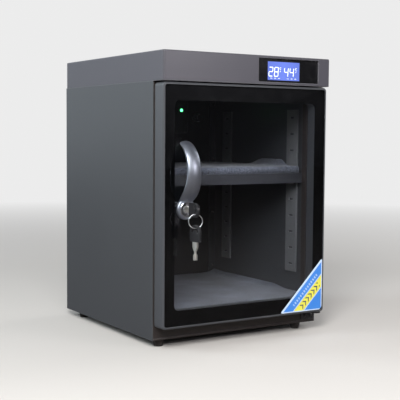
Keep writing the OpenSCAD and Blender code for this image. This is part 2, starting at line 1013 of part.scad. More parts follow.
module right_front_standard() {
    color("#55575b")
        in_part()
            side(1)
                standard(std_front_y);
}

module right_rear_standard() {
    color("#55575b")
        in_part()
            side(1)
                standard(std_back_y);
}

// Clip that hooks into a slot and carries a corner of the shelf
module shelf_clip(y) {
    plate_x0 = std_x - clip_t;
    tongue_z0 = clip_slot_z - slot_h / 2 + fit;
    block(plate_x0, std_x, y - clip_w / 2, y + clip_w / 2, tongue_z0, ledge_z);
    block(
        plate_x0 - clip_ledge, plate_x0 + clip_t / 2,
        y - clip_w / 2, y + clip_w / 2,
        ledge_z - clip_t, ledge_z
    );
    block(
        std_x - clip_t / 2, std_x + clip_tongue_l,
        y - clip_tongue_w / 2, y + clip_tongue_w / 2,
        tongue_z0, tongue_z0 + clip_tongue_h
    );
}

module shelf_clips() {
    color("#b9bbbe")
        in_part()
            for (s = [-1, 1], y = [std_front_y, std_back_y]) {
                side(s)
                    shelf_clip(y);
            }
}

module floor_mat() {
    color("#4d5058")
        in_part()
            translate([0, 0, floor_z])
                linear_extrude(mat_t)
                    polygon(concat(
                        arc(
                            -in_x + mat_inset + mat_edge_r, flange_y - mat_inset - mat_edge_r,
                            mat_edge_r, 90, 180
                        ),
                        [
                            [-in_x + mat_inset, lip_y + mat_inset],
                            [-open_x + mat_inset, lip_y + mat_inset],
                            [-open_x + mat_inset, body_y0 + sheet_t + mat_inset],
                            [open_x - mat_inset, body_y0 + sheet_t + mat_inset],
                            [open_x - mat_inset, lip_y + mat_inset],
                            [in_x - mat_inset, lip_y + mat_inset]
                        ],
                        arc(
                            in_x - mat_inset - mat_edge_r, flange_y - mat_inset - mat_edge_r,
                            mat_edge_r, 0, 90
                        )
                    ));
}

module dryer_cover() {
    hw = dryer_w / 2;
    color("#1a1a1d")
        in_part()
            difference() {
                dryer_form(0);
                dryer_form(dryer_wall);
                for (i = [0 : dryer_slot_n - 1]) {
                    block(
                        -dryer_slot_w / 2, dryer_slot_w / 2,
                        dryer_y0 - over, dryer_y0 + dryer_wall + over,
                        dryer_z0 + dryer_slot_low + i * dryer_slot_pitch,
                        dryer_z0 + dryer_slot_low + i * dryer_slot_pitch + dryer_slot_h
                    );
                    for (s = [-1, 1]) {
                        block(
                            s * hw - dryer_wall - over, s * hw + dryer_wall + over,
                            dryer_y0 + 2 * dryer_edge_r, rear_y - 2 * dryer_edge_r,
                            dryer_z0 + dryer_slot_low + i * dryer_slot_pitch,
                            dryer_z0 + dryer_slot_low + i * dryer_slot_pitch + dryer_slot_h
                        );
                    }
                }
                bar_y(led_x, led_z, dryer_y0 - over, dryer_y0 + dryer_wall + over, led_r + fit);
                bar_y(knob_x, knob_z, dryer_y0 - over, dryer_y0 + dryer_wall + over, knob_shaft_r + 3 * run);
            }
}

// Outer or inner form of the dryer cover
module dryer_form(inset) {
    soft_form(
        -dryer_w / 2 + inset, dryer_w / 2 - inset, dryer_z0 + inset, dryer_z1 - inset,
        dryer_corner_r, dryer_edge_r, dryer_y0 + inset, inset > 0 ? rear_y + over : rear_y
    );
}

module dryer_led() {
    color("#39ff7a")
        in_part()
            translate([led_x, dryer_y0, led_z])
                rotate([-90, 0, 0])
                    rotate_extrude()
                        polygon(concat(
                            [[0, 3 * dryer_wall], [led_r, 3 * dryer_wall]],
                            [for (a = [0 : 15 : 75]) [led_r * cos(a), -led_proud * sin(a)]],
                            [[0, -led_proud]]
                        ));
}

module humidity_control() {
    control_y = dryer_y0 + dryer_wall;
    color("#6d7178")
        in_part()
            difference() {
                union() {
                    bar_y(knob_x, knob_z, control_y, control_y + control_l, control_r);
                    block(
                        knob_x - control_r, knob_x + control_r,
                        control_y + control_l / 2, control_y + control_l,
                        knob_z - control_tab_l, knob_z
                    );
                }
                bar_y(knob_x, knob_z, control_y - over, control_y + control_l + over, knob_shaft_r + run);
            }
}

module humidity_knob() {
    knob_y1 = dryer_y0 - rest_gap;
    color("#232326")
        in_part()
            difference() {
                union() {
                    translate([knob_x, knob_y1, knob_z])
                        rotate([90, 0, 0])
                            cylinder(h = knob_l, r1 = knob_r, r2 = knob_taper_share * knob_r);
                    bar_y(knob_x, knob_z, knob_y1 - over, dryer_y0 + knob_shaft_l, knob_shaft_r);
                }
                for (i = [0 : knob_grip_n - 1]) {
                    translate([
                        knob_x + knob_r * cos(360 * i / knob_grip_n), knob_y1 - over,
                        knob_z + knob_r * sin(360 * i / knob_grip_n)
                    ])
                        rotate([90, 0, 0])
                            cylinder(h = knob_l, r = knob_grip_r, $fn = 16);
                }
                block(
                    knob_x - knob_grip_r / 3, knob_x + knob_grip_r / 3,
                    knob_y1 - knob_l - over, knob_y1 - knob_l + knob_grip_r / 2,
                    knob_z, knob_z + knob_mark_share * knob_r
                );
            }
}

module cold_plate() {
    fin_pitch = (cold_w - cold_fin_t) / (cold_fin_n - 1);
    color("#b4b7bb")
        in_part()
            union() {
                block(
                    -cold_w / 2, cold_w / 2, cell_y0 - cold_t, cell_y0,
                    cell_z - cold_h / 2, cell_z + cold_h / 2
                );
                for (i = [0 : cold_fin_n - 1]) {
                    block(
                        -cold_w / 2 + i * fin_pitch, -cold_w / 2 + i * fin_pitch + cold_fin_t,
                        cell_y0 - cold_t - cold_fin_l, cell_y0 - cold_t / 2,
                        cell_z - cold_h / 2, cell_z + cold_h / 2
                    );
                }
            }
}

module cooling_cell() {
    color("#e8e8e4")
        in_part()
            block(
                -cell_w / 2, cell_w / 2, cell_y0, cell_y1,
                cell_z - cell_w / 2, cell_z + cell_w / 2
            );
}

module heat_sink() {
    fin_pitch = (sink_w - sink_fin_t) / (sink_fin_n - 1);
    color("#a9acb0")
        in_part()
            union() {
                block(
                    -sink_w / 2, sink_w / 2, cell_y1, cell_y1 + sink_t,
                    cell_z - sink_h / 2, cell_z + sink_h / 2
                );
                for (i = [0 : sink_fin_n - 1]) {
                    block(
                        -sink_w / 2 + i * fin_pitch, -sink_w / 2 + i * fin_pitch + sink_fin_t,
                        cell_y1 + sink_t / 2, cell_y1 + sink_t + sink_fin_l,
                        cell_z - sink_h / 2, cell_z + sink_h / 2
                    );
                }
            }
}

// Outer or inner form of the vent cover
module vent_form(inset) {
    soft_form(
        -vent_w / 2 + inset, vent_w / 2 - inset, vent_z - vent_h / 2 + inset, vent_z + vent_h / 2 - inset,
        vent_corner_r, vent_edge_r, cab_d + vent_d - inset, inset > 0 ? cab_d - over : cab_d
    );
}

module vent_cover() {
    y1 = cab_d + vent_d;
    low_z = vent_z - (louvre_n - 1) * louvre_pitch / 2;
    color("#1b1b1e")
        in_part()
            union() {
                difference() {
                    vent_form(0);
                    vent_form(vent_wall);
                    for (i = [0 : louvre_n - 1], s = [-1, 1]) {
                        side(s)
                            block(
                                vent_wall, vent_wall + louvre_w,
                                y1 - vent_wall - over, y1 + over,
                                low_z + i * louvre_pitch - louvre_h / 2,
                                low_z + i * louvre_pitch + louvre_h / 2
                            );
                    }
                    for (x = vent_screw_x(), z = vent_screw_z()) {
                        bar_y(x, z, cab_d + vent_wall, y1 + over, screw_head_r + 2 * fit);
                        bar_y(x, z, cab_d - over, y1 + over, screw_r + fit);
                    }
                }
                for (x = vent_screw_x(), z = vent_screw_z()) {
                    difference() {
                        bar_y(x, z, cab_d, y1 - vent_wall, vent_ear - fit);
                        bar_y(x, z, cab_d + vent_wall, y1, screw_head_r + 2 * fit);
                        bar_y(x, z, cab_d - over, y1, screw_r + fit);
                    }
                }
            }
}

module vent_cover_screws() {
    color("#5a5c60")
        in_part()
            for (x = vent_screw_x(), z = vent_screw_z()) {
                screw_y(x, z, cab_d + vent_wall, screw_l);
            }
}

module humidity_sensor() {
    slot_pitch_z = sensor_h / (sensor_slot_n + 1);
    color("#d9dadb")
        in_part()
            difference() {
                plate(
                    sensor_x - sensor_w / 2, sensor_x + sensor_w / 2,
                    cell_z - sensor_h / 2, cell_z + sensor_h / 2, mat_edge_r,
                    rear_y - sensor_d, rear_y
                );
                for (i = [1 : sensor_slot_n]) {
                    block(
                        sensor_x - sensor_w / 3, sensor_x + sensor_w / 3,
                        rear_y - sensor_d - over, rear_y - sensor_d + 2 * dryer_wall,
                        cell_z - sensor_h / 2 + i * slot_pitch_z - sheet_t / 2,
                        cell_z - sensor_h / 2 + i * slot_pitch_z + sheet_t / 2
                    );
                }
            }
}

module power_jack() {
    color("#141416")
        in_part()
            difference() {
                union() {
                    bar_y(jack_x, vent_z, cab_d, cab_d + jack_flange_t, jack_flange_r);
                    bar_y(jack_x, vent_z, cab_d - jack_l, cab_d + jack_flange_t / 2, jack_r);
                }
                difference() {
                    bar_y(
                        jack_x, vent_z, cab_d + jack_flange_t - jack_bore_l,
                        cab_d + jack_flange_t + over, jack_bore_r
                    );
                    bar_y(jack_x, vent_z, cab_d - jack_l, cab_d + jack_flange_t / 2, jack_pin_r);
                }
            }
}

module jack_nut() {
    color("#b9bbbe")
        in_part()
            nut_y(jack_x, vent_z, rear_y - jack_nut_t, rear_y, jack_nut_r, jack_r + fit);
}

module feet() {
    color("#191412")
        in_part()
            for (p = foot_places()) {
                difference() {
                    translate([p[0], p[1], 0])
                        cylinder(h = foot_h, r1 = foot_low_r, r2 = foot_top_r);
                    bar_z(p[0], p[1], -over, foot_sink_h + foot_head_h, foot_sink_r);
                    bar_z(p[0], p[1], 0, foot_h + over, screw_r + fit);
                }
            }
}

module foot_screws() {
    head_z = foot_sink_h;
    color("#8d8f93")
        in_part()
            for (p = foot_places()) {
                union() {
                    bar_z(p[0], p[1], head_z, head_z + foot_head_h, foot_sink_r - 2 * fit);
                    bar_z(p[0], p[1], head_z + foot_head_h / 2, foot_h + sheet_t + over, screw_r);
                }
            }
}

module back_panel_screws() {
    color("#5a5c60")
        in_part()
            for (s = [-1, 1], i = [0 : screw_rows - 1]) {
                screw_y(s * (in_x - rear_flange_w / 2), back_screw_z(i), cab_d, screw_l);
            }
}

module cap_screws() {
    color("#5a5c60")
        in_part()
            for (x = cap_screw_x()) {
                screw_y(x, body_z1 + pan_flange_h / 2, cab_d, screw_l);
            }
}

module door_frame() {
    pocket_y = film_y1 + channel_t;
    color("#5a5c60")
        in_part()
            difference() {
                soft_form(door_x0, door_x1, door_z0, door_z1, door_corner_r, door_edge_r, 0, frame_y1);
                plate(win_x0, win_x1, win_z0, win_z1, window_r, -over, frame_y1 + over);
                plate(
                    door_x0 + rim_w, door_x1 - rim_w, door_z0 + rim_w, door_z1 - rim_w,
                    door_corner_r - rim_w / 2,
                    -over, film_y1
                );
                for (x = [door_x0 + channel_t, win_x1 + channel_t]) {
                    block(
                        x, x + stile_w - 2 * channel_t, pocket_y, frame_y1 + over,
                        win_z0 + window_r, win_z1 - window_r
                    );
                }
                for (z = [door_z0 + channel_t, win_z1 + channel_t]) {
                    block(
                        win_x0, win_x1 - hinge_block, pocket_y, frame_y1 + over,
                        z, z + rail_h - 2 * channel_t
                    );
                }
                bar_z(pivot_x, pivot_y, door_z0 - over, door_z0 + hinge_pin_l + over, bush_r + fit);
                bar_z(pivot_x, pivot_y, door_z1 - hinge_pin_l - over, door_z1 + over, bush_r + fit);
            }
}

module door_liner() {
    color("#2f3034")
        in_part()
            difference() {
                plate(door_x0, door_x1, door_z0, door_z1, door_corner_r, frame_y1, door_t);
                plate(
                    win_x0 - border_lap, win_x1 + border_lap, win_z0 - border_lap, win_z1 + border_lap,
                    window_r,
                    frame_y1 - over, door_t + over
                );
            }
}

module door_glass() {
    color("#22282c", 0.35)
        in_part()
            difference() {
                plate(
                    door_x0 + rim_w + rest_gap, door_x1 - rim_w - rest_gap,
                    door_z0 + rim_w + rest_gap, door_z1 - rim_w - rest_gap, door_corner_r - rim_w / 2,
                    glass_y0, glass_y1
                );
                bar_y(handle_x, lock_z, glass_y0 - over, glass_y1 + over, barrel_r + rest_gap);
                bar_y(handle_x, handle_stud_z, glass_y0 - over, glass_y1 + over, stud_r + rest_gap);
            }
}

module glass_border() {
    color("#0a0a0c")
        in_part()
            difference() {
                plate(
                    door_x0 + rim_w + rest_gap, door_x1 - rim_w - rest_gap,
                    door_z0 + rim_w + rest_gap, door_z1 - rim_w - rest_gap, door_corner_r - rim_w / 2,
                    glass_y1, film_y1
                );
                plate(
                    win_x0 + border_lap, win_x1 - border_lap, win_z0 + border_lap, win_z1 - border_lap,
                    window_r,
                    glass_y1 - over, film_y1 + over
                );
            }
}

// Frame-shaped strip round the front opening
module opening_strip(in0, in1, y0, y1) {
    difference() {
        plate(-open_x - in1, open_x + in1, floor_z - in1, header_z + in1, in1, y0, y1);
        plate(-open_x - in0, open_x + in0, floor_z - in0, header_z + in0, in0, y0 - over, y1 + over);
    }
}

module door_gasket() {
    lip_in = gasket_in + (gasket_w - gasket_lip_w) / 2;
    color("#131315")
        in_part()
            union() {
                opening_strip(gasket_in, gasket_in + gasket_w, door_t, door_t + gasket_base_t);
                opening_strip(lip_in, lip_in + gasket_lip_w, door_t + gasket_base_t / 2, body_y0 - rest_gap);
            }
}

// Flanged bush that carries a hinge pin, with its flange outside the door
module hinge_bush() {
    difference() {
        union() {
            bar_z(0, 0, -bush_flange_t, 0, bush_flange_r);
            bar_z(0, 0, -bush_flange_t / 2, hinge_pin_l + over / 2, bush_r);
        }
        bar_z(0, 0, -bush_flange_t - over, hinge_pin_l + over, hinge_pin_r + run);
    }
}

module hinge_bushes() {
    color("#e2e2dc")
        in_part()
            union() {
                translate([pivot_x, pivot_y, door_z0])
                    hinge_bush();
                translate([pivot_x, pivot_y, door_z1])
                    mirror([0, 0, 1])
                        hinge_bush();
            }
}

// Profile of the bow, crowned across its width
function crown_profile() = concat(
    [[0, -boss_r]],
    [
        for (i = [-crown_steps : crown_steps])
            [bow_outer_r - handle_crown * pow(i / crown_steps, 2), boss_r * i / crown_steps]
    ],
    [[0, boss_r]]
);

// One side of the bow's front outline, which flares towards the lock
function bow_side(s) = [
    for (i = [0 : bow_steps])
        [
            s * (handle_w_top + (handle_w_low - handle_w_top) * pow(1 - i / bow_steps, bow_flare)) / 2,
            handle_z - handle_half_l + 2 * handle_half_l * bow_waist_share * i / bow_steps
        ]
];

// Front outline of the bow
function bow_outline() = concat(
    bow_side(1),
    arc(handle_w_top / 2 - bow_corner_r, handle_z + handle_half_l - bow_corner_r, bow_corner_r, 0, 90),
    arc(bow_corner_r - handle_w_top / 2, handle_z + handle_half_l - bow_corner_r, bow_corner_r, 90, 180),
    [for (i = [0 : bow_steps]) bow_side(-1)[bow_steps - i]]
);

module door_handle() {
    color("#a9abb0")
        in_part()
            difference() {
                union() {
                    difference() {
                        intersection() {
                            translate([handle_x, bow_outer_y, handle_z])
                                rotate([0, 90, 0])
                                    rotate_extrude($fn = 96)
                                        polygon(crown_profile());
                            translate([handle_x, glass_y0, 0])
                                rotate([90, 0, 0])
                                    linear_extrude(2 * handle_reach)
                                        polygon(bow_outline());
                        }
                        difference() {
                            translate([handle_x - boss_r - over, bow_inner_y, handle_z])
                                rotate([0, 90, 0])
                                    cylinder(h = 2 * (boss_r + over), r = bow_inner_r, $fn = 96);
                            bar_y(handle_x, handle_stud_z, glass_y0 - handle_reach, glass_y0, stud_foot_r);
                        }
                    }
                    translate([handle_x, glass_y0, lock_z])
                        rotate([90, 0, 0])
                            rotate_extrude()
                                polygon([
                                    [0, 0], [boss_r, 0], [boss_r, boss_t - boss_chamfer],
                                    [boss_r - boss_chamfer, boss_t], [0, boss_t]
                                ]);
                }
                bar_y(handle_x, lock_z, boss_y - handle_reach, glass_y0 + over, barrel_r + fit);
                bar_y(handle_x, lock_z, boss_y - handle_reach, boss_y, bezel_r + 2 * rest_gap);
                bar_y(handle_x, handle_stud_z, glass_y0 - handle_t + rest_gap, glass_y0 + over, stud_r + fit);
            }
}

module handle_screw() {
    color("#b9bbbe")
        in_part()
            union() {
                bar_y(handle_x, handle_stud_z, glass_y0 - handle_t + 2 * rest_gap, glass_y1 + over, stud_r);
                bar_y(handle_x, handle_stud_z, glass_y1, glass_y1 + over, stud_head_r);
                bar_y(handle_x, handle_stud_z, glass_y1 + over / 2, glass_y1 + over + stud_r, stud_nut_r);
            }
}

module door_label() {
    x1 = door_x1 - rim_w - label_in;
    z0 = door_z0 + rim_w + label_in;
    r = label_tip_r;
    slant = label_turn;
    color("#3f86e8")
        in_part()
            translate([0, glass_y0, 0])
                rotate([90, 0, 0])
                    linear_extrude(label_t)
                        polygon(concat(
                            arc(x1 - label_corner_r, z0 + label_corner_r, label_corner_r, -90, 0),
                            arc(x1 - r, z0 + label_w - r, r, 0, slant),
                            arc(x1 - label_w + r, z0 + r, r, slant, 270)
                        ));
}

module lock_barrel() {
    color("#c9cbce")
        in_part()
            difference() {
                union() {
                    translate([handle_x, boss_y, lock_z])
                        rotate([90, 0, 0])
                            rotate_extrude()
                                polygon([
                                    [0, 0], [bezel_r, 0], [bezel_r, bezel_t / 2],
                                    [bezel_r - bezel_t / 2, bezel_t], [0, bezel_t]
                                ]);
                    bar_y(handle_x, lock_z, boss_y - bezel_t / 2, barrel_y1, barrel_r);
                }
                bar_y(handle_x, lock_z, boss_y - bezel_t - over, barrel_y1 + over, plug_r + run);
            }
}

module lock_nut() {
    color("#b9bbbe")
        in_part()
            nut_y(handle_x, lock_z, glass_y1, glass_y1 + lock_nut_t, lock_nut_r, barrel_r + fit);
}

module lock_plug() {
    groove_y = key_tip_y - key_tube_l + over + 2 * rest_gap;
    bore_y = key_tip_y + 2 * rest_gap;
    color("#d9dadc")
        in_part()
            difference() {
                union() {
                    bar_y(handle_x, lock_z, plug_y, barrel_y1, plug_r);
                    bar_y(handle_x, lock_z, barrel_y1 - over, tail_y1, tail_r);
                }
                bar_y(handle_x, lock_z, plug_y - over, plug_y + key_mouth_l, key_mouth_r);
                difference() {
                    bar_y(handle_x, lock_z, plug_y - over, bore_y, key_tube_r + 2 * run);
                    bar_y(handle_x, lock_z, groove_y, bore_y + over, key_bore_r - 2 * run);
                }
            }
}

module lock_cam() {
    color("#b9bbbe")
        in_part()
            difference() {
                union() {
                    bar_y(handle_x, lock_z, cam_y0, cam_y1, cam_w / 2);
                    block(
                        handle_x - cam_w / 2, handle_x + cam_w / 2, cam_y0, cam_y1,
                        lock_z - cam_l + cam_w / 3, lock_z
                    );
                    plate(
                        handle_x - cam_w / 2, handle_x + cam_w / 2,
                        lock_z - cam_l, lock_z - cam_l / 2, cam_w / 3,
                        cam_y0, cam_y1
                    );
                }
                bar_y(handle_x, lock_z, cam_y0 - over, cam_y1 + over, tail_r + fit);
            }
}

module cam_nut() {
    color("#b9bbbe")
        in_part()
            nut_y(handle_x, lock_z, cam_y1, cam_y1 + cam_nut_t, cam_nut_r, tail_r + fit);
}

// Metal blade of a key, standing on its tip
module blade_form() {
    difference() {
        union() {
            cylinder(h = key_tube_l, r = key_tube_r);
            cylinder(h = key_shoulder_z, r = key_neck_r);
            translate([-key_plate_t / 2, 0, 0])
                rotate([90, 0, 90])
                    linear_extrude(key_plate_t)
                        polygon([
                            [key_neck_r, key_taper_z], [key_shoulder_w / 2, key_shoulder_z],
                            [key_shoulder_w / 2, key_blade_l], [-key_shoulder_w / 2, key_blade_l],
                            [-key_shoulder_w / 2, key_shoulder_z], [-key_neck_r, key_taper_z]
                        ]);
            translate([-key_tang_t / 2, -key_tang_w / 2, key_blade_l - over])
                cube([key_tang_t, key_tang_w, key_tang_l + over]);
        }
        translate([0, 0, -over])
            cylinder(h = key_tube_l, r = key_bore_r);
    }
}

// Moulded head of a key, standing on the shoulder of the blade
module head_form() {
    end_z = key_blade_l + key_head_l - key_end_r;
    slot_a0 = key_turn_up - key_slot_turn;
    slot_a1 = key_turn_up + key_slot_turn;
    difference() {
        translate([-key_head_t / 2, 0, 0])
            rotate([90, 0, 90])
                linear_extrude(key_head_t)
                    polygon(concat(
                        arc(0, end_z, key_end_r, 0, 180, key_steps),
                        arc(key_corner_r - key_end_r, key_blade_l + key_corner_r, key_corner_r, 180, 270),
                        arc(key_end_r - key_corner_r, key_blade_l + key_corner_r, key_corner_r, 270, 360)
                    ));
        translate([-key_head_t, 0, 0])
            rotate([90, 0, 90])
                linear_extrude(2 * key_head_t)
                    polygon(concat(
                        arc(0, end_z, key_slot_r, slot_a0, slot_a1, key_steps),
                        arc(0, end_z, key_slot_r - key_slot_w, slot_a1, slot_a0, key_steps)
                    ));
        translate([-key_tang_t / 2 - fit, -key_tang_w / 2 - fit, key_blade_l - over])
            cube([key_tang_t + 2 * fit, key_tang_w + 2 * fit, key_tang_l + fit + over]);
    }
}

// Place of the key in the lock
module at_lock() {
    translate([handle_x, key_tip_y, lock_z])
        rotate([90, 0, 0])
            children();
}

// Place of the spare key that hangs from the ring
module at_ring() {
    translate([handle_x, key_hole_y, spare_tip_z])
        rotate([0, 0, spare_turn])
            children();
}

module key_blade() {
    color("#d6d2c4")
        in_part()
            at_lock()
                blade_form();
}

module key_head() {
    color("#1b1b1e")
        in_part()
            at_lock()
                head_form();
}

module key_ring() {
    color("#c9cbce")
        in_part()
            translate([handle_x, key_hole_y, ring_z])
                rotate([0, 0, ring_turn])
                    rotate([90, 0, 0])
                        rotate_extrude()
                            union() {
                                for (s = [-1, 1]) {
                                    translate([ring_in_r + ring_wire_t / 2, s * ring_lay_share * ring_wire_t])
                                        circle(d = ring_wire_t, $fn = 16);
                                }
                            }
}

module spare_key_blade() {
    color("#d6d2c4")
        in_part()
            at_ring()
                blade_form();
}

module spare_key_head() {
    color("#1b1b1e")
        in_part()
            at_ring()
                head_form();
}

module shelf_tray() {
    slot_y0 = shelf_y + 2 * vent_slot_w;
    slot_y1 = tray_y1 - 2 * vent_slot_w;
    color("#3c3f45")
        in_part()
            difference() {
                union() {
                    block(-tray_x, tray_x, shelf_y, tray_y1, tray_z1 - sheet_t, tray_z1);
                    block(
                        -tray_lip_x, tray_lip_x, shelf_y, shelf_y + sheet_t,
                        tray_z1 - shelf_lip_h, tray_z1
                    );
                    block(-tray_x, tray_x, tray_y1 - sheet_t, tray_y1, tray_z0, tray_z1 + tray_back_h);
                    for (s = [-1, 1]) {
                        side(s)
                            block(tray_x - sheet_t, tray_x, shelf_y, tray_y1, tray_z0, tray_z1);
                    }
                }
                for (i = [0 : vent_slot_n - 1], s = [0, 1]) {
                    translate([(i - (vent_slot_n - 1) / 2) * tray_x / 4, 0, 0])
                        block(
                            -vent_slot_w / 2, vent_slot_w / 2,
                            slot_y0 + s * (slot_y1 - slot_y0) / 2 + vent_slot_w,
                            slot_y0 + (s + 1) * (slot_y1 - slot_y0) / 2 - vent_slot_w,
                            tray_z0, tray_z1 + over
                        );
                }
            }
}

module shelf_mat() {
    color("#4d5058")
        in_part()
            translate([0, 0, tray_z1])
                linear_extrude(shelf_mat_t)
                    polygon(round_rect(
                        -tray_x + mat_inset, tray_x - mat_inset,
                        shelf_y + mat_inset, tray_y1 - sheet_t - mat_inset, mat_edge_r
                    ));
}

left_side_panel();
right_side_panel();
back_panel();
bottom_pan();
inner_floor();
front_frame();
ceiling_pan();
top_cap();
display_panel();
lcd_screen();
display_board();
control_board();
upper_hinge_bracket();
lower_hinge_bracket();
hinge_screws();
left_front_standard();
left_rear_standard();
right_front_standard();
right_rear_standard();
shelf_clips();
floor_mat();
dryer_cover();
dryer_led();
humidity_control();
cold_plate();
cooling_cell();
heat_sink();
vent_cover();
vent_cover_screws();
humidity_sensor();
power_jack();
jack_nut();
feet();
foot_screws();
back_panel_screws();
cap_screws();
door_frame();
door_liner();
door_glass();
glass_border();
door_gasket();
hinge_bushes();
door_handle();
handle_screw();
door_label();
lock_barrel();
lock_nut();
lock_plug();
lock_cam();
cam_nut();
key_blade();
key_head();
key_ring();
spare_key_blade();
spare_key_head();
shelf_tray();
shelf_mat();
humidity_knob();
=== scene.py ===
"""Camera dry cabinet: finishes, foam mats, lit figures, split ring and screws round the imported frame."""
import math
import bpy
import bmesh
from mathutils import Matrix, Vector, noise


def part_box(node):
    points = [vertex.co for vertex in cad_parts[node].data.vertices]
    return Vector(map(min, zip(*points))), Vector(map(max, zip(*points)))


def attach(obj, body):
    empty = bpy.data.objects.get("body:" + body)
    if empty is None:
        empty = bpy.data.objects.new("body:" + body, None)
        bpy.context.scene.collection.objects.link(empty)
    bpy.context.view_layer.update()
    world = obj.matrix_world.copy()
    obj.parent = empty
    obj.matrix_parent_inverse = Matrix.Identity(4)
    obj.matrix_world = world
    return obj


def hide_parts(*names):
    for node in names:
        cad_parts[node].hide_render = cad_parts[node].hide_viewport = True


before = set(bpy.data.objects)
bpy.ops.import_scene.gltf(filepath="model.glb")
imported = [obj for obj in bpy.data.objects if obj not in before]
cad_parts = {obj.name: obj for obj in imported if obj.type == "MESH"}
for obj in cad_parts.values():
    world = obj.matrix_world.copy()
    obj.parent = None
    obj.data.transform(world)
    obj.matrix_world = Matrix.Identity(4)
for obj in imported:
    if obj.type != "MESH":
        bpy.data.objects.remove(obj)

RING_WIRE, RING_TURN = 0.001, -20
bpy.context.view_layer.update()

# Places read from the frame
screen_lo, screen_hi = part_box("lcd_screen")
FRONT_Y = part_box("door_frame")[0][1]
LEFT_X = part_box("top_cap")[0][0]


# Shader helpers
def link(tree, a, b):
    tree.links.new(a, b)


def add(tree, kind, **props):
    node = tree.nodes.new(kind)
    for name, value in props.items():
        setattr(node, name, value)
    return node


def maths(tree, operation, a, b=0.0, clamp=False):
    node = add(tree, "ShaderNodeMath", operation=operation, use_clamp=clamp)
    for socket, value in zip(node.inputs, (a, b)):
        if hasattr(value, "default_value"):
            link(tree, value, socket)
        else:
            socket.default_value = value
    return node.outputs[0]


def mix_colour(tree, fac, a, b, blend="MIX"):
    node = add(tree, "ShaderNodeMix", data_type="RGBA", blend_type=blend)
    for socket, value in ((node.inputs[0], fac), (node.inputs[6], a), (node.inputs[7], b)):
        if hasattr(value, "default_value"):
            link(tree, value, socket)
        elif isinstance(value, (int, float)):
            socket.default_value = value
        else:
            socket.default_value = (*value, 1)
    return node.outputs[2]


def remap(tree, value, low, high, to_low=0.0, to_high=1.0):
    node = add(tree, "ShaderNodeMapRange", clamp=True)
    link(tree, value, node.inputs[0])
    for socket, number in zip(node.inputs[1:5], (low, high, to_low, to_high)):
        if hasattr(number, "default_value"):
            link(tree, number, socket)
        else:
            socket.default_value = number
    return node.outputs[0]


def centred(tree, noise_value):
    """Noise between 0 and 1, moved to lie round 0."""
    return maths(tree, "SUBTRACT", noise_value, 0.5)


def varied(tree, value, noise_value, amount, clamp=False):
    """A value that the noise raises and lowers by up to half the amount."""
    return maths(tree, "ADD", value, maths(tree, "MULTIPLY", centred(tree, noise_value), amount), clamp)


def object_point(tree):
    return add(tree, "ShaderNodeTexCoord").outputs["Object"]


def cloud(tree, point, scale, detail=3.0, rough=0.55):
    """Noise between 0 and 1."""
    node = add(tree, "ShaderNodeTexNoise")
    link(tree, point, node.inputs["Vector"])
    if hasattr(scale, "default_value"):
        link(tree, scale, node.inputs["Scale"])
    else:
        node.inputs["Scale"].default_value = scale
    node.inputs["Detail"].default_value = detail
    node.inputs["Roughness"].default_value = rough
    return node.outputs[0]


def group(name, inputs, outputs):
    """A shader node group with named sockets: (name, kind, value)."""
    tree = bpy.data.node_groups.new(name, "ShaderNodeTree")
    for label, kind, value in inputs:
        socket = tree.interface.new_socket(name=label, in_out="INPUT", socket_type="NodeSocket" + kind)
        if value is not None:
            socket.default_value = value
    for label, kind in outputs:
        tree.interface.new_socket(name=label, in_out="OUTPUT", socket_type="NodeSocket" + kind)
    return tree, add(tree, "NodeGroupInput"), add(tree, "NodeGroupOutput")


def soft_edges():
    """Normal of slightly rounded edges, and a mask that is 1 on them."""
    tree, put, out = group(
        "Soft Edges",
        [("Radius", "Float", 0.0006)],
        [("Normal", "Vector"), ("Edge", "Float")],
    )
    bevel = add(tree, "ShaderNodeBevel", samples=4)
    link(tree, put.outputs["Radius"], bevel.inputs["Radius"])
    geometry = add(tree, "ShaderNodeNewGeometry")
    dot = add(tree, "ShaderNodeVectorMath", operation="DOT_PRODUCT")
    link(tree, bevel.outputs[0], dot.inputs[0])
    link(tree, geometry.outputs["Normal"], dot.inputs[1])
    edge = remap(tree, dot.outputs["Value"], 0.995, 0.80)
    link(tree, bevel.outputs[0], out.inputs["Normal"])
    link(tree, edge, out.inputs["Edge"])
    return tree


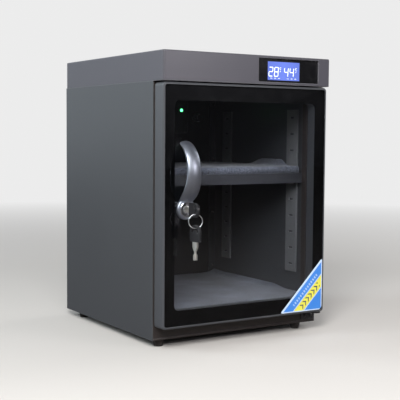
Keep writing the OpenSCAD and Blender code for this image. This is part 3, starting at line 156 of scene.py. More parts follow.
def powder_coat():
    """Colour, roughness and height of baked paint: orange peel, mottling, lighter edges and dust on top; the
    lighter edges are wear, and where the Edge input is raised, a painted highlight.
    """
    tree, put, out = group(
        "Powder Coat",
        [("Colour", "Color", (0.1, 0.1, 0.1, 1)), ("Mottle", "Float", 0.08), ("Grain", "Float", 900.0),
         ("Roughness", "Float", 0.4), ("Edge", "Float", 0.0), ("Dust", "Float", 0.1)],
        [("Colour", "Color"), ("Roughness", "Float"), ("Height", "Float")],
    )
    point = object_point(tree)
    peel = cloud(tree, point, put.outputs["Grain"], 2.0)
    broad = cloud(tree, point, 9.0, 4.0)
    speck = cloud(tree, point, 2600.0, 1.0)
    shade = maths(tree, "MULTIPLY_ADD", centred(tree, broad), put.outputs["Mottle"])
    shade.node.inputs[2].default_value = 1.0
    shade = maths(tree, "ADD", shade, maths(tree, "MULTIPLY", centred(tree, speck), 0.22))
    scaled = add(tree, "ShaderNodeVectorMath", operation="SCALE")
    link(tree, put.outputs["Colour"], scaled.inputs[0])
    link(tree, shade, scaled.inputs["Scale"])
    # edges lightened towards pale grey: wear, and where the Edge input is raised, a painted highlight
    wear_and_highlight_share = maths(tree, "MULTIPLY", put.outputs["Edge"], 0.22)
    wear_and_highlight_edges = mix_colour(tree, wear_and_highlight_share, scaled.outputs[0], (0.45, 0.45, 0.46))
    geometry = add(tree, "ShaderNodeNewGeometry")
    split = add(tree, "ShaderNodeSeparateXYZ")
    link(tree, geometry.outputs["Normal"], split.inputs[0])
    up = remap(tree, split.outputs[2], 0.5, 1.0)
    dust = maths(tree, "MULTIPLY", up, put.outputs["Dust"])
    dust = maths(tree, "MULTIPLY", dust, cloud(tree, point, 40.0, 5.0, 0.7))
    colour = mix_colour(tree, dust, wear_and_highlight_edges, (0.45, 0.44, 0.42))
    rough = varied(tree, put.outputs["Roughness"], broad, 0.10)
    rough = maths(tree, "ADD", rough, maths(tree, "MULTIPLY", dust, 0.4), clamp=True)
    link(tree, colour, out.inputs["Colour"])
    link(tree, rough, out.inputs["Roughness"])
    link(tree, peel, out.inputs["Height"])
    return tree


def drawn_metal():
    """Colour, roughness and height of rolled or drawn metal, with fine lines along one axis."""
    tree, put, out = group(
        "Drawn Metal",
        [("Colour", "Color", (0.6, 0.6, 0.6, 1)), ("Lines", "Vector", (1.0, 1.0, 0.03)),
         ("Roughness", "Float", 0.3), ("Spread", "Float", 0.12), ("Tarnish", "Float", 0.1)],
        [("Colour", "Color"), ("Roughness", "Float"), ("Height", "Float")],
    )
    point = object_point(tree)
    along = add(tree, "ShaderNodeVectorMath", operation="MULTIPLY")
    link(tree, point, along.inputs[0])
    link(tree, put.outputs["Lines"], along.inputs[1])
    lines = cloud(tree, along.outputs[0], 2500.0, 2.0)
    patches = cloud(tree, point, 120.0, 4.0)
    dull = maths(tree, "MULTIPLY", remap(tree, patches, 0.45, 0.75), put.outputs["Tarnish"])
    colour = mix_colour(tree, dull, put.outputs["Colour"], (0.22, 0.21, 0.20))
    rough = varied(tree, put.outputs["Roughness"], lines, put.outputs["Spread"])
    rough = maths(tree, "ADD", rough, maths(tree, "MULTIPLY", dull, 0.5), clamp=True)
    link(tree, colour, out.inputs["Colour"])
    link(tree, rough, out.inputs["Roughness"])
    link(tree, lines, out.inputs["Height"])
    return tree


def moulded():
    """Colour, roughness and height of a spark-textured moulding."""
    tree, put, out = group(
        "Moulded Texture",
        [("Colour", "Color", (0.05, 0.05, 0.05, 1)), ("Grain", "Float", 1600.0), ("Roughness", "Float", 0.5),
         ("Edge", "Float", 0.0), ("Scuff", "Float", 0.1)],
        [("Colour", "Color"), ("Roughness", "Float"), ("Height", "Float")],
    )
    point = object_point(tree)
    cells = add(tree, "ShaderNodeTexVoronoi", feature="SMOOTH_F1")
    link(tree, point, cells.inputs["Vector"])
    link(tree, put.outputs["Grain"], cells.inputs["Scale"])
    patches = cloud(tree, point, 60.0, 5.0, 0.65)
    scuff = maths(tree, "MULTIPLY", remap(tree, patches, 0.52, 0.72), put.outputs["Scuff"])
    scuff = maths(tree, "ADD", scuff, maths(tree, "MULTIPLY", put.outputs["Edge"], 0.12), clamp=True)
    colour = mix_colour(tree, scuff, put.outputs["Colour"], (0.30, 0.30, 0.31))
    rough = varied(tree, put.outputs["Roughness"], patches, 0.18, clamp=True)
    link(tree, colour, out.inputs["Colour"])
    link(tree, rough, out.inputs["Roughness"])
    link(tree, cells.outputs["Distance"], out.inputs["Height"])
    return tree


SOFT_EDGES, POWDER, DRAWN, MOULDED = soft_edges(), powder_coat(), drawn_metal(), moulded()


def use_group(tree, shared, **values):
    node = add(tree, "ShaderNodeGroup", node_tree=shared)
    for name, value in values.items():
        socket = node.inputs[name]
        if hasattr(value, "default_value"):
            link(tree, value, socket)
        elif isinstance(value, (tuple, list)):
            socket.default_value = tuple(value) if len(socket.default_value) == len(value) else (*value, 1)
        else:
            socket.default_value = value
    return node


def bare_material(name):
    material = bpy.data.materials.new(name)
    material.use_nodes = True
    tree = material.node_tree
    shader = tree.nodes["Principled BSDF"]
    return material, tree, shader


def bump(tree, shader, height, strength, distance, normal=None):
    node = add(tree, "ShaderNodeBump")
    node.inputs["Strength"].default_value = strength
    node.inputs["Distance"].default_value = distance
    link(tree, height, node.inputs["Height"])
    if normal is not None:
        link(tree, normal, node.inputs["Normal"])
    link(tree, node.outputs[0], shader.inputs["Normal"])


def painted(
    name, colour, roughness=0.4, mottle=0.08, grain=900.0, dust=0.1, peel=0.25, edge=0.0007, edge_wear_and_highlight=1.0
):
    """Powder-coated steel; the last argument is how far the edges show lighter: wear, and above 1 a painted
    highlight on the edges.
    """
    material, tree, shader = bare_material(name)
    edges = use_group(tree, SOFT_EDGES, Radius=edge)
    wear_and_highlight_edges = maths(tree, "MULTIPLY", edges.outputs["Edge"], edge_wear_and_highlight)
    coat_node = use_group(
        tree, POWDER, Colour=colour, Mottle=mottle, Grain=grain, Roughness=roughness, Edge=wear_and_highlight_edges, Dust=dust,
    )
    link(tree, coat_node.outputs["Colour"], shader.inputs["Base Color"])
    link(tree, coat_node.outputs["Roughness"], shader.inputs["Roughness"])
    bump(tree, shader, coat_node.outputs["Height"], peel, 0.00006, edges.outputs["Normal"])
    return material


def metal(
    name, colour, roughness=0.3, spread=0.12, tarnish=0.1, lines=(1.0, 1.0, 0.03), edge=0.0003, scratch=0.15
):
    """Plated, rolled or drawn metal."""
    material, tree, shader = bare_material(name)
    edges = use_group(tree, SOFT_EDGES, Radius=edge)
    node = use_group(
        tree, DRAWN, Colour=colour, Lines=lines, Roughness=roughness, Spread=spread, Tarnish=tarnish,
    )
    link(tree, node.outputs["Colour"], shader.inputs["Base Color"])
    link(tree, node.outputs["Roughness"], shader.inputs["Roughness"])
    shader.inputs["Metallic"].default_value = 1.0
    bump(tree, shader, node.outputs["Height"], scratch, 0.00003, edges.outputs["Normal"])
    return material


def plastic(name, colour, roughness=0.5, grain=1600.0, scuff=0.1, depth=0.3, edge=0.0004):
    """Moulded plastic or rubber."""
    material, tree, shader = bare_material(name)
    edges = use_group(tree, SOFT_EDGES, Radius=edge)
    node = use_group(
        tree, MOULDED, Colour=colour, Grain=grain, Roughness=roughness,
        Edge=edges.outputs["Edge"], Scuff=scuff,
    )
    link(tree, node.outputs["Colour"], shader.inputs["Base Color"])
    link(tree, node.outputs["Roughness"], shader.inputs["Roughness"])
    bump(tree, shader, node.outputs["Height"], depth, 0.00008, edges.outputs["Normal"])
    return material


def clear_glass(name, tint, roughness=0.0):
    """Polished glass that lets the light through to what stands behind it."""
    material, tree, shader = bare_material(name)
    film = remap(tree, cloud(tree, object_point(tree), 14.0, 3.0, 0.5), 0.3, 0.7)
    link(tree, mix_colour(tree, film, tuple(0.98 * c for c in tint), tint), shader.inputs["Base Color"])
    shader.inputs["Roughness"].default_value = roughness
    shader.inputs["Transmission Weight"].default_value = 1.0
    shader.inputs["Metallic"].default_value = 0.0
    shader.inputs["IOR"].default_value = 1.46
    clear = add(tree, "ShaderNodeBsdfTransparent")
    clear.inputs[0].default_value = (*[0.92 * c for c in tint], 1)
    path = add(tree, "ShaderNodeLightPath")
    mix = add(tree, "ShaderNodeMixShader")
    link(tree, path.outputs["Is Shadow Ray"], mix.inputs[0])
    link(tree, shader.outputs[0], mix.inputs[1])
    link(tree, clear.outputs[0], mix.inputs[2])
    link(tree, mix.outputs[0], tree.nodes["Material Output"].inputs[0])
    return material


def glowing(name, colour, light, strength, roughness=0.25):
    """A lit lens or screen, with a slightly uneven glow."""
    material, tree, shader = bare_material(name)
    shader.inputs["Base Color"].default_value = (*colour, 1)
    shader.inputs["Roughness"].default_value = roughness
    uneven = remap(tree, cloud(tree, object_point(tree), 60.0, 2.0), 0.3, 0.7, 0.85, 1.0)
    glow = mix_colour(tree, uneven, (0, 0, 0), light)
    link(tree, glow, shader.inputs["Emission Color"])
    shader.inputs["Emission Strength"].default_value = strength
    return material


def foam(name, colour, pit=900.0):
    """Grey foam with fine open cells."""
    material, tree, shader = bare_material(name)
    point = object_point(tree)
    cells = add(tree, "ShaderNodeTexVoronoi", feature="F1")
    link(tree, point, cells.inputs["Vector"])
    cells.inputs["Scale"].default_value = pit
    fine = cloud(tree, point, 460.0, 6.0, 0.85)
    broad = cloud(tree, point, 18.0, 4.0)
    pits = remap(tree, cells.outputs["Distance"], 0.15, 0.65)
    height = maths(tree, "ADD", maths(tree, "MULTIPLY", pits, 0.8), maths(tree, "MULTIPLY", fine, 0.5))
    lighter = tuple(min(1.0, 4.6 * c) for c in colour)
    darker = tuple(0.2 * c for c in colour)
    tone = maths(tree, "ADD", maths(tree, "MULTIPLY", fine, 0.8), maths(tree, "MULTIPLY", broad, 0.2))
    shade = mix_colour(tree, remap(tree, tone, 0.40, 0.64), darker, lighter)
    grain = mix_colour(tree, maths(tree, "MULTIPLY", pits, 0.25), shade, colour)
    link(tree, grain, shader.inputs["Base Color"])
    link(tree, remap(tree, fine, 0.2, 0.8, 0.85, 1.0), shader.inputs["Roughness"])
    shader.inputs["Sheen Weight"].default_value = 0.25
    shader.inputs["Sheen Roughness"].default_value = 0.5
    bump(tree, shader, height, 0.7, 0.0004)
    return material


def sticker(name):
    """Printed corner sticker: pale border, blue field and a yellow band along the long side."""
    material, tree, shader = bare_material(name)
    lo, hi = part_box("door_label")
    size = hi[0] - lo[0]
    split = add(tree, "ShaderNodeSeparateXYZ")
    link(tree, object_point(tree), split.inputs[0])
    x, z = split.outputs[0], split.outputs[2]
    from_right = maths(tree, "SUBTRACT", hi[0], x)
    from_foot = maths(tree, "SUBTRACT", z, lo[2])
    # distance inside the long slanted side
    past_corner = maths(tree, "SUBTRACT", size, maths(tree, "ADD", from_right, from_foot))
    slant = maths(tree, "MULTIPLY", past_corner, math.sqrt(0.5))
    inset = maths(tree, "MINIMUM", maths(tree, "MINIMUM", from_right, from_foot), slant)

    def between(value, low, high, soft=0.00012):
        rise = remap(tree, value, low - soft, low + soft)
        fall = remap(tree, value, high - soft, high + soft, 1.0, 0.0)
        return maths(tree, "MULTIPLY", rise, fall)

    ink = cloud(tree, object_point(tree), 30.0, 2.0)
    ground = mix_colour(tree, ink, (0.045, 0.22, 0.72), (0.06, 0.28, 0.80))
    yellow = between(slant, 0.0150, 0.0275)
    colour = mix_colour(tree, yellow, ground, (0.86, 0.80, 0.09))
    for low, high in ((0.0138, 0.0146), (0.0279, 0.0287)):
        colour = mix_colour(tree, between(slant, low, high), colour, (0.78, 0.86, 0.95))
    # a row of chevrons on the band, and a row of short bars beside it
    along = maths(tree, "MULTIPLY", maths(tree, "SUBTRACT", from_foot, from_right), math.sqrt(0.5))
    middle = maths(tree, "ABSOLUTE", maths(tree, "SUBTRACT", slant, 0.02125))
    wave = maths(tree, "FRACT", maths(tree, "MULTIPLY", maths(tree, "ADD", along, middle), 1 / 0.0072))
    chevron = maths(tree, "MULTIPLY", between(wave, 0.30, 0.62, 0.03), between(middle, -0.001, 0.0042))
    chevron = maths(tree, "MULTIPLY", chevron, between(along, -0.0225, 0.0225))
    colour = mix_colour(tree, chevron, colour, (0.03, 0.05, 0.14))
    bars = maths(tree, "FRACT", maths(tree, "MULTIPLY", along, 1 / 0.0045))
    bars = maths(tree, "MULTIPLY", between(bars, 0.2, 0.75, 0.03), between(slant, 0.0068, 0.0104))
    bars = maths(tree, "MULTIPLY", bars, between(along, -0.0300, 0.0300))
    colour = mix_colour(tree, maths(tree, "MULTIPLY", bars, 0.55), colour, (0.75, 0.86, 0.98))
    border = remap(tree, inset, 0.0013, 0.0016, 1.0, 0.0)
    colour = mix_colour(tree, border, colour, (0.62, 0.76, 0.95))
    link(tree, colour, shader.inputs["Base Color"])
    gloss = cloud(tree, object_point(tree), 50.0, 4.0)
    link(tree, remap(tree, gloss, 0.3, 0.8, 0.25, 0.42), shader.inputs["Roughness"])
    bump(tree, shader, cloud(tree, object_point(tree), 220.0, 2.0), 0.12, 0.00008)
    return material


# Finishes
FINISH = {
    "side": painted("Side Paint", (0.053, 0.057, 0.063), 0.33, 0.10, 1100.0, 0.12, 0.30),
    # the cap's edges are lightened three times over: a painted highlight on its front corner and the rims of
    # the display recess
    "cap": painted("Cap Paint", (0.069, 0.067, 0.081), 0.36, 0.08, 1100.0, 0.2, 0.30, 0.0009, 3.0),
    "door": painted("Door Paint", (0.058, 0.062, 0.070), 0.36, 0.08, 1000.0, 0.15, 0.25),
    # the plinth's paint is the body's; its darker brown colour is painted shade and a painted brown
    # reflection
    "plinth_shade_reflection": painted("Plinth Paint", (0.034, 0.027, 0.025), 0.40, 0.10, 1000.0, 0.2, 0.3),
    "inner": painted("Inner Paint", (0.022, 0.022, 0.025), 0.40, 0.10, 1000.0, 0.1, 0.25),
    "back": painted("Back Paint", (0.016, 0.016, 0.018), 0.48, 0.10, 1100.0, 0.2, 0.3),
    "standard": painted("Standard Paint", (0.17, 0.175, 0.18), 0.34, 0.08, 1100.0, 0.1, 0.25),
    "shelf": painted("Shelf Paint", (0.050, 0.052, 0.060), 0.36, 0.08, 1100.0, 0.2, 0.25),
    "liner": painted("Liner Paint", (0.020, 0.020, 0.022), 0.42, 0.08, 1000.0, 0.1, 0.25),
    "zinc": metal("Zinc Plate", (0.62, 0.63, 0.65), 0.32, 0.2, 0.25, (1, 1, 1)),
    "dark_zinc": metal("Black Zinc Plate", (0.055, 0.055, 0.06), 0.42, 0.2, 0.25, (1, 1, 1)),
    "dark_screw": metal("Dark Plated Screw", (0.16, 0.16, 0.17), 0.35, 0.2, 0.2, (1, 1, 1)),
    "hinge": painted("Hinge Paint", (0.030, 0.030, 0.032), 0.40),
    "fins": metal("Extruded Aluminium", (0.60, 0.61, 0.63), 0.38, 0.15, 0.15, (1, 1, 0.02)),
    "chrome": metal("Bright Chrome", (0.84, 0.86, 0.90), 0.20, 0.05, 0.08, (1, 1, 1), 0.0003, 0.04),
    "plug": metal("Lock Plug Chrome", (0.80, 0.82, 0.86), 0.26, 0.08, 0.2, (1, 0.03, 1), 0.0002, 0.08),
    "handle": metal("Handle Satin Chrome", (0.44, 0.475, 0.55), 0.40, 0.10, 0.12, (1, 1, 0.03), 0.0006, 0.10),
    "key": metal("Nickel Key", (0.97, 0.94, 0.88), 0.36, 0.12, 0.3, (1, 1, 0.03), 0.0002, 0.12),
    "ring": metal("Nickel Ring", (0.86, 0.86, 0.88), 0.30, 0.08, 0.1, (1, 1, 1), 0.0001, 0.05),
    "bow": plastic("Key Head Plastic", (0.012, 0.012, 0.014), 0.38, 2200.0, 0.06, 0.2, 0.0006),
    "black": plastic("Black Moulding", (0.018, 0.018, 0.020), 0.50, 1500.0, 0.12, 0.35),
    "panel": plastic("Display Gloss", (0.004, 0.004, 0.005), 0.20, 400.0, 0.04, 0.03),
    "border": plastic("Printed Border", (0.0035, 0.0035, 0.004), 0.22, 800.0, 0.02, 0.02),
    "rubber": plastic("Foot Rubber", (0.020, 0.015, 0.013), 0.75, 1300.0, 0.25, 0.4),
    "gasket": plastic("Gasket Rubber", (0.014, 0.014, 0.015), 0.60, 1800.0, 0.1, 0.2),
    "acetal": plastic("White Acetal", (0.75, 0.75, 0.71), 0.40, 1500.0, 0.1, 0.1),
    "sensor": plastic("Sensor Housing", (0.62, 0.62, 0.60), 0.50, 1500.0, 0.1, 0.2),
    "ceramic": plastic("Cell Ceramic", (0.80, 0.80, 0.77), 0.55, 1200.0, 0.05, 0.1),
    "board": plastic("Board Green", (0.02, 0.16, 0.07), 0.35, 1200.0, 0.1, 0.15),
    "control": plastic("Control Body", (0.22, 0.23, 0.25), 0.50, 1500.0, 0.1, 0.2),
    "glass": clear_glass("Door Glass", (0.80, 0.81, 0.825)),
    "led": glowing("Green Lamp", (0.02, 0.35, 0.10), (0.10, 1.0, 0.30), 6.0),
    "foam": foam("Grey Foam", (0.070, 0.077, 0.098)),
    "sticker": sticker("Corner Sticker"),
    "figures": glowing("Lit Figures", (0.7, 0.75, 0.9), (0.80, 0.86, 1.0), 1.0, 0.3),
}
NODE_FINISH = {
    "side": "left_side_panel right_side_panel",
    "cap": "top_cap",
    "door": "door_frame",
    "plinth_shade_reflection": "front_frame",
    "inner": "inner_floor ceiling_pan",
    "back": "back_panel bottom_pan",
    "standard": "left_front_standard left_rear_standard right_front_standard right_rear_standard",
    "shelf": "shelf_tray",
    "liner": "door_liner",
    "zinc": "shelf_clips jack_nut foot_screws upper_hinge_bracket",
    "dark_zinc": "handle_screw lock_nut lock_cam cam_nut",
    "dark_screw": "vent_cover_screws back_panel_screws cap_screws hinge_screws",
    "hinge": "lower_hinge_bracket",
    "fins": "cold_plate heat_sink",
    "chrome": "lock_barrel",
    "plug": "lock_plug",
    "handle": "door_handle",
    "key": "key_blade spare_key_blade",
    "ring": "key_ring",
    "bow": "key_head spare_key_head",
    "black": "dryer_cover vent_cover power_jack humidity_knob",
    "panel": "display_panel",
    "border": "glass_border",
    "rubber": "feet",
    "gasket": "door_gasket",
    "acetal": "hinge_bushes",
    "sensor": "humidity_sensor",
    "ceramic": "cooling_cell",
    "board": "display_board control_board",
    "control": "humidity_control",
    "glass": "door_glass",
    "led": "dryer_led",
    "foam": "floor_mat shelf_mat",
    "sticker": "door_label",
}


def lcd_material():
    """Back-lit blue screen, a little brighter in the middle."""
    material, tree, shader = bare_material("Blue Screen")
    split = add(tree, "ShaderNodeSeparateXYZ")
    link(tree, object_point(tree), split.inputs[0])
    mid = (screen_lo[0] + screen_hi[0]) / 2
    off = maths(tree, "ABSOLUTE", maths(tree, "SUBTRACT", split.outputs[0], mid))
    fall = remap(tree, off, 0.0, 0.030, 1.0, 0.78)
    colour = mix_colour(tree, fall, (0.01, 0.02, 0.10), (0.17, 0.25, 0.82))
    link(tree, colour, shader.inputs["Emission Color"])
    shader.inputs["Emission Strength"].default_value = 1.0
    shader.inputs["Base Color"].default_value = (0.02, 0.03, 0.12, 1)
    shader.inputs["Roughness"].default_value = 0.18
    return material


FINISH["screen"] = lcd_material()
NODE_FINISH["screen"] = "lcd_screen"
for finish, names in NODE_FINISH.items():
    for name in names.split():
        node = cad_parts[name]
        node.data.materials.clear()
        node.data.materials.append(FINISH[finish])


# Mesh helpers
def new_piece(name, verts, faces, material, body, smooth=True):
    mesh = bpy.data.meshes.new(name)
    mesh.from_pydata(verts, [], faces)
    mesh.validate()
    mesh.update()
    piece = bpy.data.objects.new(name, mesh)
    bpy.context.scene.collection.objects.link(piece)
    mesh.materials.append(material)
    for face in mesh.polygons:
        face.use_smooth = smooth
    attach(piece, body)
    return piece


def grid_pad(name, node, body, lift, round_r=0.0025, step=0.004):
    """A foam slab over a CAD mat, on a fine grid, whose edges lift by lift(x, y) and are rounded over."""
    (x0, y0, z0), (x1, y1, z1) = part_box(node)
    nx, ny = int((x1 - x0) / step), int((y1 - y0) / step)

    def spread(a, b, n):
        """Even steps with finer ones close to both ends, for the rounded edge."""
        ends = [0.0, 0.0004, 0.0009, 0.0016, 0.0026]
        inner = [a + 0.004 + (b - a - 0.008) * i / (n - 2) for i in range(n - 1)]
        return [a + e for e in ends] + inner + [b - e for e in reversed(ends)]

    xs, ys = spread(x0, x1, nx), spread(y0, y1, ny)
    verts, faces = [], []

    def drop(x, y):
        d = min(x - x0, x1 - x, y - y0, y1 - y)
        if d >= round_r:
            return 0.0
        return round_r - math.sqrt(max(round_r ** 2 - (round_r - d) ** 2, 0.0))

    for side in (1, 0):
        for y in ys:
            for x in xs:
                rise = lift(x, y)
                if side:
                    wave = 0.00025 * noise.noise(Vector((x * 40, y * 40, 3.0)))
                    z = z1 + rise - drop(x, y) + wave
                else:
                    z = z0 + rise * 0.9
                verts.append((x, y, z))
    cols, rows = len(xs), len(ys)
    size = cols * rows
    for j in range(rows - 1):
        for i in range(cols - 1):
            a = j * cols + i
            faces.append((a, a + 1, a + cols + 1, a + cols))
            b = a + size
            faces.append((b, b + cols, b + cols + 1, b + 1))
    for i in range(cols - 1):
        a, b = i, (rows - 1) * cols + i
        faces.append((a, a + size, a + size + 1, a + 1))
        faces.append((b, b + 1, b + size + 1, b + size))
    for j in range(rows - 1):
        a, b = j * cols, j * cols + cols - 1
        faces.append((a, a + cols, a + cols + size, a + size))
        faces.append((b, b + size, b + cols + size, b + cols))
    piece = new_piece(name, verts, faces, FINISH["foam"], body)
    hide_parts(node)


def ease(value, low, high):
    t = min(max((value - low) / (high - low), 0.0), 1.0)
    return t * t * (3 - 2 * t)


# Foam mats
def floor_lift(x, y):
    """The floor mat is a little wide: it climbs the right wall, most of all in the back corner."""
    lo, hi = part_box("floor_mat")
    along = ease(y, lo[1] + 0.06, lo[1] + 0.10)
    edge = ease(x, hi[0] - 0.014, hi[0]) ** 1.5
    corner = ease(x, hi[0] - 0.035, hi[0]) * ease(y, hi[1] - 0.035, hi[1])
    return 0.0045 * edge * along + 0.0015 * corner


def shelf_lift(x, y):
    lo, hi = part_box("shelf_mat")
    along = ease(y, lo[1] + 0.025, lo[1] + 0.045) * (1 - ease(y, lo[1] + 0.09, lo[1] + 0.13))
    edge = ease(x, hi[0] - 0.016, hi[0]) ** 1.5
    return 0.010 * edge * along


grid_pad("floor_mat_foam", "floor_mat", "cabinet", floor_lift)
grid_pad("shelf_mat_foam", "shelf_mat", "shelf", shelf_lift)


# Digits and marks on the screen
SEGMENTS = {"2": "abged", "8": "abcdefg", "4": "fgbc"}
SLANT = 0.08


def bar(verts, faces, start, end, width, place):
    """One segment of a digit: a flat six-sided bar from start to end, on the screen's face."""
    (x0, z0), (x1, z1) = start, end
    length = math.hypot(x1 - x0, z1 - z0)
    ux, uz = (x1 - x0) / length, (z1 - z0) / length
    half = width / 2
    outline = [
        (x0, z0), (x0 + ux * half - uz * half, z0 + uz * half + ux * half),
        (x1 - ux * half - uz * half, z1 - uz * half + ux * half), (x1, z1),
        (x1 - ux * half + uz * half, z1 - uz * half - ux * half),
        (x0 + ux * half + uz * half, z0 + uz * half - ux * half),
    ]
    first = len(verts)
    ox, front_y, oz = place
    for depth in (0.0, 0.00004):
        verts.extend((ox + x + SLANT * z, front_y - depth, oz + z) for x, z in outline)
    count = len(outline)
    faces.append(tuple(first + i for i in range(count)))
    faces.append(tuple(first + count + i for i in reversed(range(count))))
    for i in range(count):
        j = (i + 1) % count
        faces.append((first + i, first + count + i, first + count + j, first + j))


def digit(verts, faces, sign, width, height, stroke, place):
    """A seven-segment figure whose lower left corner is at the place."""
    gap = stroke * 0.12
    half = height / 2
    corner = {
        "a": ((gap, height), (width - gap, height)), "b": ((width, half + gap), (width, height - gap)),
        "c": ((width, gap), (width, half - gap)), "d": ((gap, 0), (width - gap, 0)),
        "e": ((0, gap), (0, half - gap)), "f": ((0, half + gap), (0, height - gap)),
        "g": ((gap, half), (width - gap, half)),
    }
    for name in SEGMENTS[sign]:
        bar(verts, faces, *corner[name], stroke, place)


def screen_marks():
    """Two readings of two figures each, with a few small marks beside them."""
    verts, faces = [], []
    face_y = screen_lo[1] - 0.00006
    wide, high = screen_hi[0] - screen_lo[0], screen_hi[2] - screen_lo[2]
    figure_w, figure_h, stroke = 0.115 * wide, 0.48 * high, 0.0011
    foot = screen_lo[2] + 0.21 * high
    for sign, share in (("2", 0.03), ("8", 0.20), ("4", 0.51), ("4", 0.685)):
        digit(verts, faces, sign, figure_w, figure_h, stroke, (screen_lo[0] + share * wide, face_y, foot))
    small = 0.0006
    for share, rise in ((0.375, 0.60), (0.87, 0.60)):
        x, z = screen_lo[0] + share * wide, screen_lo[2] + rise * high
        bar(verts, faces, (0, 0), (0.0022, 0), small, (x, face_y, z))
        bar(verts, faces, (0, 0.0022), (0.0022, 0.0022), small, (x, face_y, z))
        bar(verts, faces, (0, 0), (0, 0.0022), small, (x, face_y, z))
        bar(verts, faces, (0.0004, -0.0044), (0.0018, -0.0016), small, (x, face_y, z))
    mark_z = screen_lo[2] + 0.10 * high
    for share in (0.08, 0.20, 0.32, 0.60, 0.72, 0.84):
        bar(verts, faces, (0, 0), (0.0034, 0), small, (screen_lo[0] + share * wide, face_y, mark_z))
    new_piece("screen_figures", verts, faces, FINISH["figures"], "cabinet", smooth=False)


screen_marks()


# Wound key ring
def wound_ring():
    """Split ring: a wire wound twice, which steps over to its second turn half-way."""
    lo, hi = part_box("key_ring")
    centre = (lo + hi) / 2
    wire = RING_WIRE
    mean_r = (hi[2] - lo[2]) / 2 - wire / 2
    turn = math.radians(RING_TURN)
    along = Vector((math.cos(turn), math.sin(turn), 0))
    across = Vector((-math.sin(turn), math.cos(turn), 0))
    steps, sides, shift = 160, 12, 0.45 * wire
    verts, faces = [], []
    for i in range(steps + 1):
        share = i / steps
        angle = 4 * math.pi * share + math.radians(130)
        side_step = shift * (2 * ease(share, 0.44, 0.56) - 1)
        out = along * math.cos(angle) + Vector((0, 0, 1)) * math.sin(angle)
        middle = centre + out * mean_r + across * side_step
        for k in range(sides):
            a = 2 * math.pi * k / sides
            verts.append(middle + out * (0.49 * wire * math.cos(a)) + across * (0.49 * wire * math.sin(a)))
    for i in range(steps):
        for k in range(sides):
            a, b = i * sides + k, i * sides + (k + 1) % sides
            faces.append((a, b, b + sides, a + sides))
    faces.append(tuple(reversed(range(sides))))
    faces.append(tuple(steps * sides + k for k in range(sides)))
    ring = new_piece("split_ring", verts, faces, FINISH["ring"], "ring")
    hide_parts("key_ring")


wound_ring()


# Cross-recessed screws, repeated by one tree
def screw_shape():
    """Screw with a domed head and a cross recess, its face towards +Z, and the head's seat at the origin."""
    head_r, head_t, shank_r = 0.0032, 0.0019, 0.0014
    recess_r, recess_t, arm = 0.0018, 0.0011, 0.00048
    thread_n, thread_t, thread_step = 20, 0.0002, 0.0003
    rings, spokes = 14, 64
    verts, faces = [(0, 0, head_t - recess_t)], []
    for i in range(1, rings + 1):
        r = head_r * i / rings
        dome = head_t * math.sqrt(max(1 - (0.88 * r / head_r) ** 2, 0))
        for k in range(spokes):
            a = 2 * math.pi * k / spokes
            x, y = r * math.cos(a), r * math.sin(a)
            across = 1 - ease(min(abs(x), abs(y)), arm * 0.7, arm)
            along = 1 - ease(r, recess_r * 0.85, recess_r)
            verts.append((x, y, dome - recess_t * across * along))
    for k in range(spokes):
        faces.append((0, 1 + k, 1 + (k + 1) % spokes))
    thread = [(shank_r + thread_t * (i % 2), -thread_step * i) for i in range(thread_n)]
    profile = [(head_r, 0.0)] + thread + [(shank_r * 0.4, -0.0066)]
    for r, z in profile:
        for k in range(spokes):
            a = 2 * math.pi * k / spokes
            verts.append((r * math.cos(a), r * math.sin(a), z))
    for i in range(rings + len(profile) - 1):
        for k in range(spokes):
            a, b = 1 + i * spokes + k, 1 + i * spokes + (k + 1) % spokes
            faces.append((a, a + spokes, b + spokes, b))
    last = 1 + (rings + len(profile) - 1) * spokes
    faces.append(tuple(last + k for k in reversed(range(spokes))))
    mesh = bpy.data.meshes.new("screw_shape")
    mesh.from_pydata(verts, [], faces)
    mesh.validate()
    for face in mesh.polygons:
        face.use_smooth = True
    return bpy.data.objects.new("screw_shape", mesh)


def screw_tree():
    tree = bpy.data.node_groups.new("Screws on Points", "GeometryNodeTree")
    tree.interface.new_socket(name="Places", in_out="INPUT", socket_type="NodeSocketGeometry")
    screw = tree.interface.new_socket(name="Screw", in_out="INPUT", socket_type="NodeSocketObject")
    finish = tree.interface.new_socket(name="Finish", in_out="INPUT", socket_type="NodeSocketMaterial")
    tree.interface.new_socket(name="Screws", in_out="OUTPUT", socket_type="NodeSocketGeometry")
    put, out = add(tree, "NodeGroupInput"), add(tree, "NodeGroupOutput")
    shape = add(tree, "GeometryNodeObjectInfo")
    axis = add(tree, "GeometryNodeInputNamedAttribute", data_type="FLOAT_VECTOR")
    axis.inputs["Name"].default_value = "axis"
    aim = add(tree, "FunctionNodeAlignRotationToVector", axis="Z")
    twist = add(tree, "FunctionNodeRandomValue", data_type="FLOAT")
    twist.inputs[3].default_value = math.pi / 2
    spin = add(tree, "FunctionNodeAxisAngleToRotation")
    spin.inputs["Axis"].default_value = (0, 0, 1)
    turn = add(tree, "FunctionNodeRotateRotation", rotation_space="LOCAL")
    copies = add(tree, "GeometryNodeInstanceOnPoints")
    real = add(tree, "GeometryNodeRealizeInstances")
    coat = add(tree, "GeometryNodeSetMaterial")
    link(tree, put.outputs["Places"], copies.inputs["Points"])
    link(tree, put.outputs["Screw"], shape.inputs["Object"])
    link(tree, shape.outputs["Geometry"], copies.inputs["Instance"])
    link(tree, axis.outputs["Attribute"], aim.inputs["Vector"])
    link(tree, twist.outputs[1], spin.inputs["Angle"])
    link(tree, aim.outputs[0], turn.inputs["Rotation"])
    link(tree, spin.outputs[0], turn.inputs["Rotate By"])
    link(tree, turn.outputs[0], copies.inputs["Rotation"])
    link(tree, copies.outputs[0], real.inputs[0])
    link(tree, real.outputs[0], coat.inputs["Geometry"])
    link(tree, put.outputs["Finish"], coat.inputs["Material"])
    link(tree, coat.outputs[0], out.inputs[0])
    return tree, screw.identifier, finish.identifier


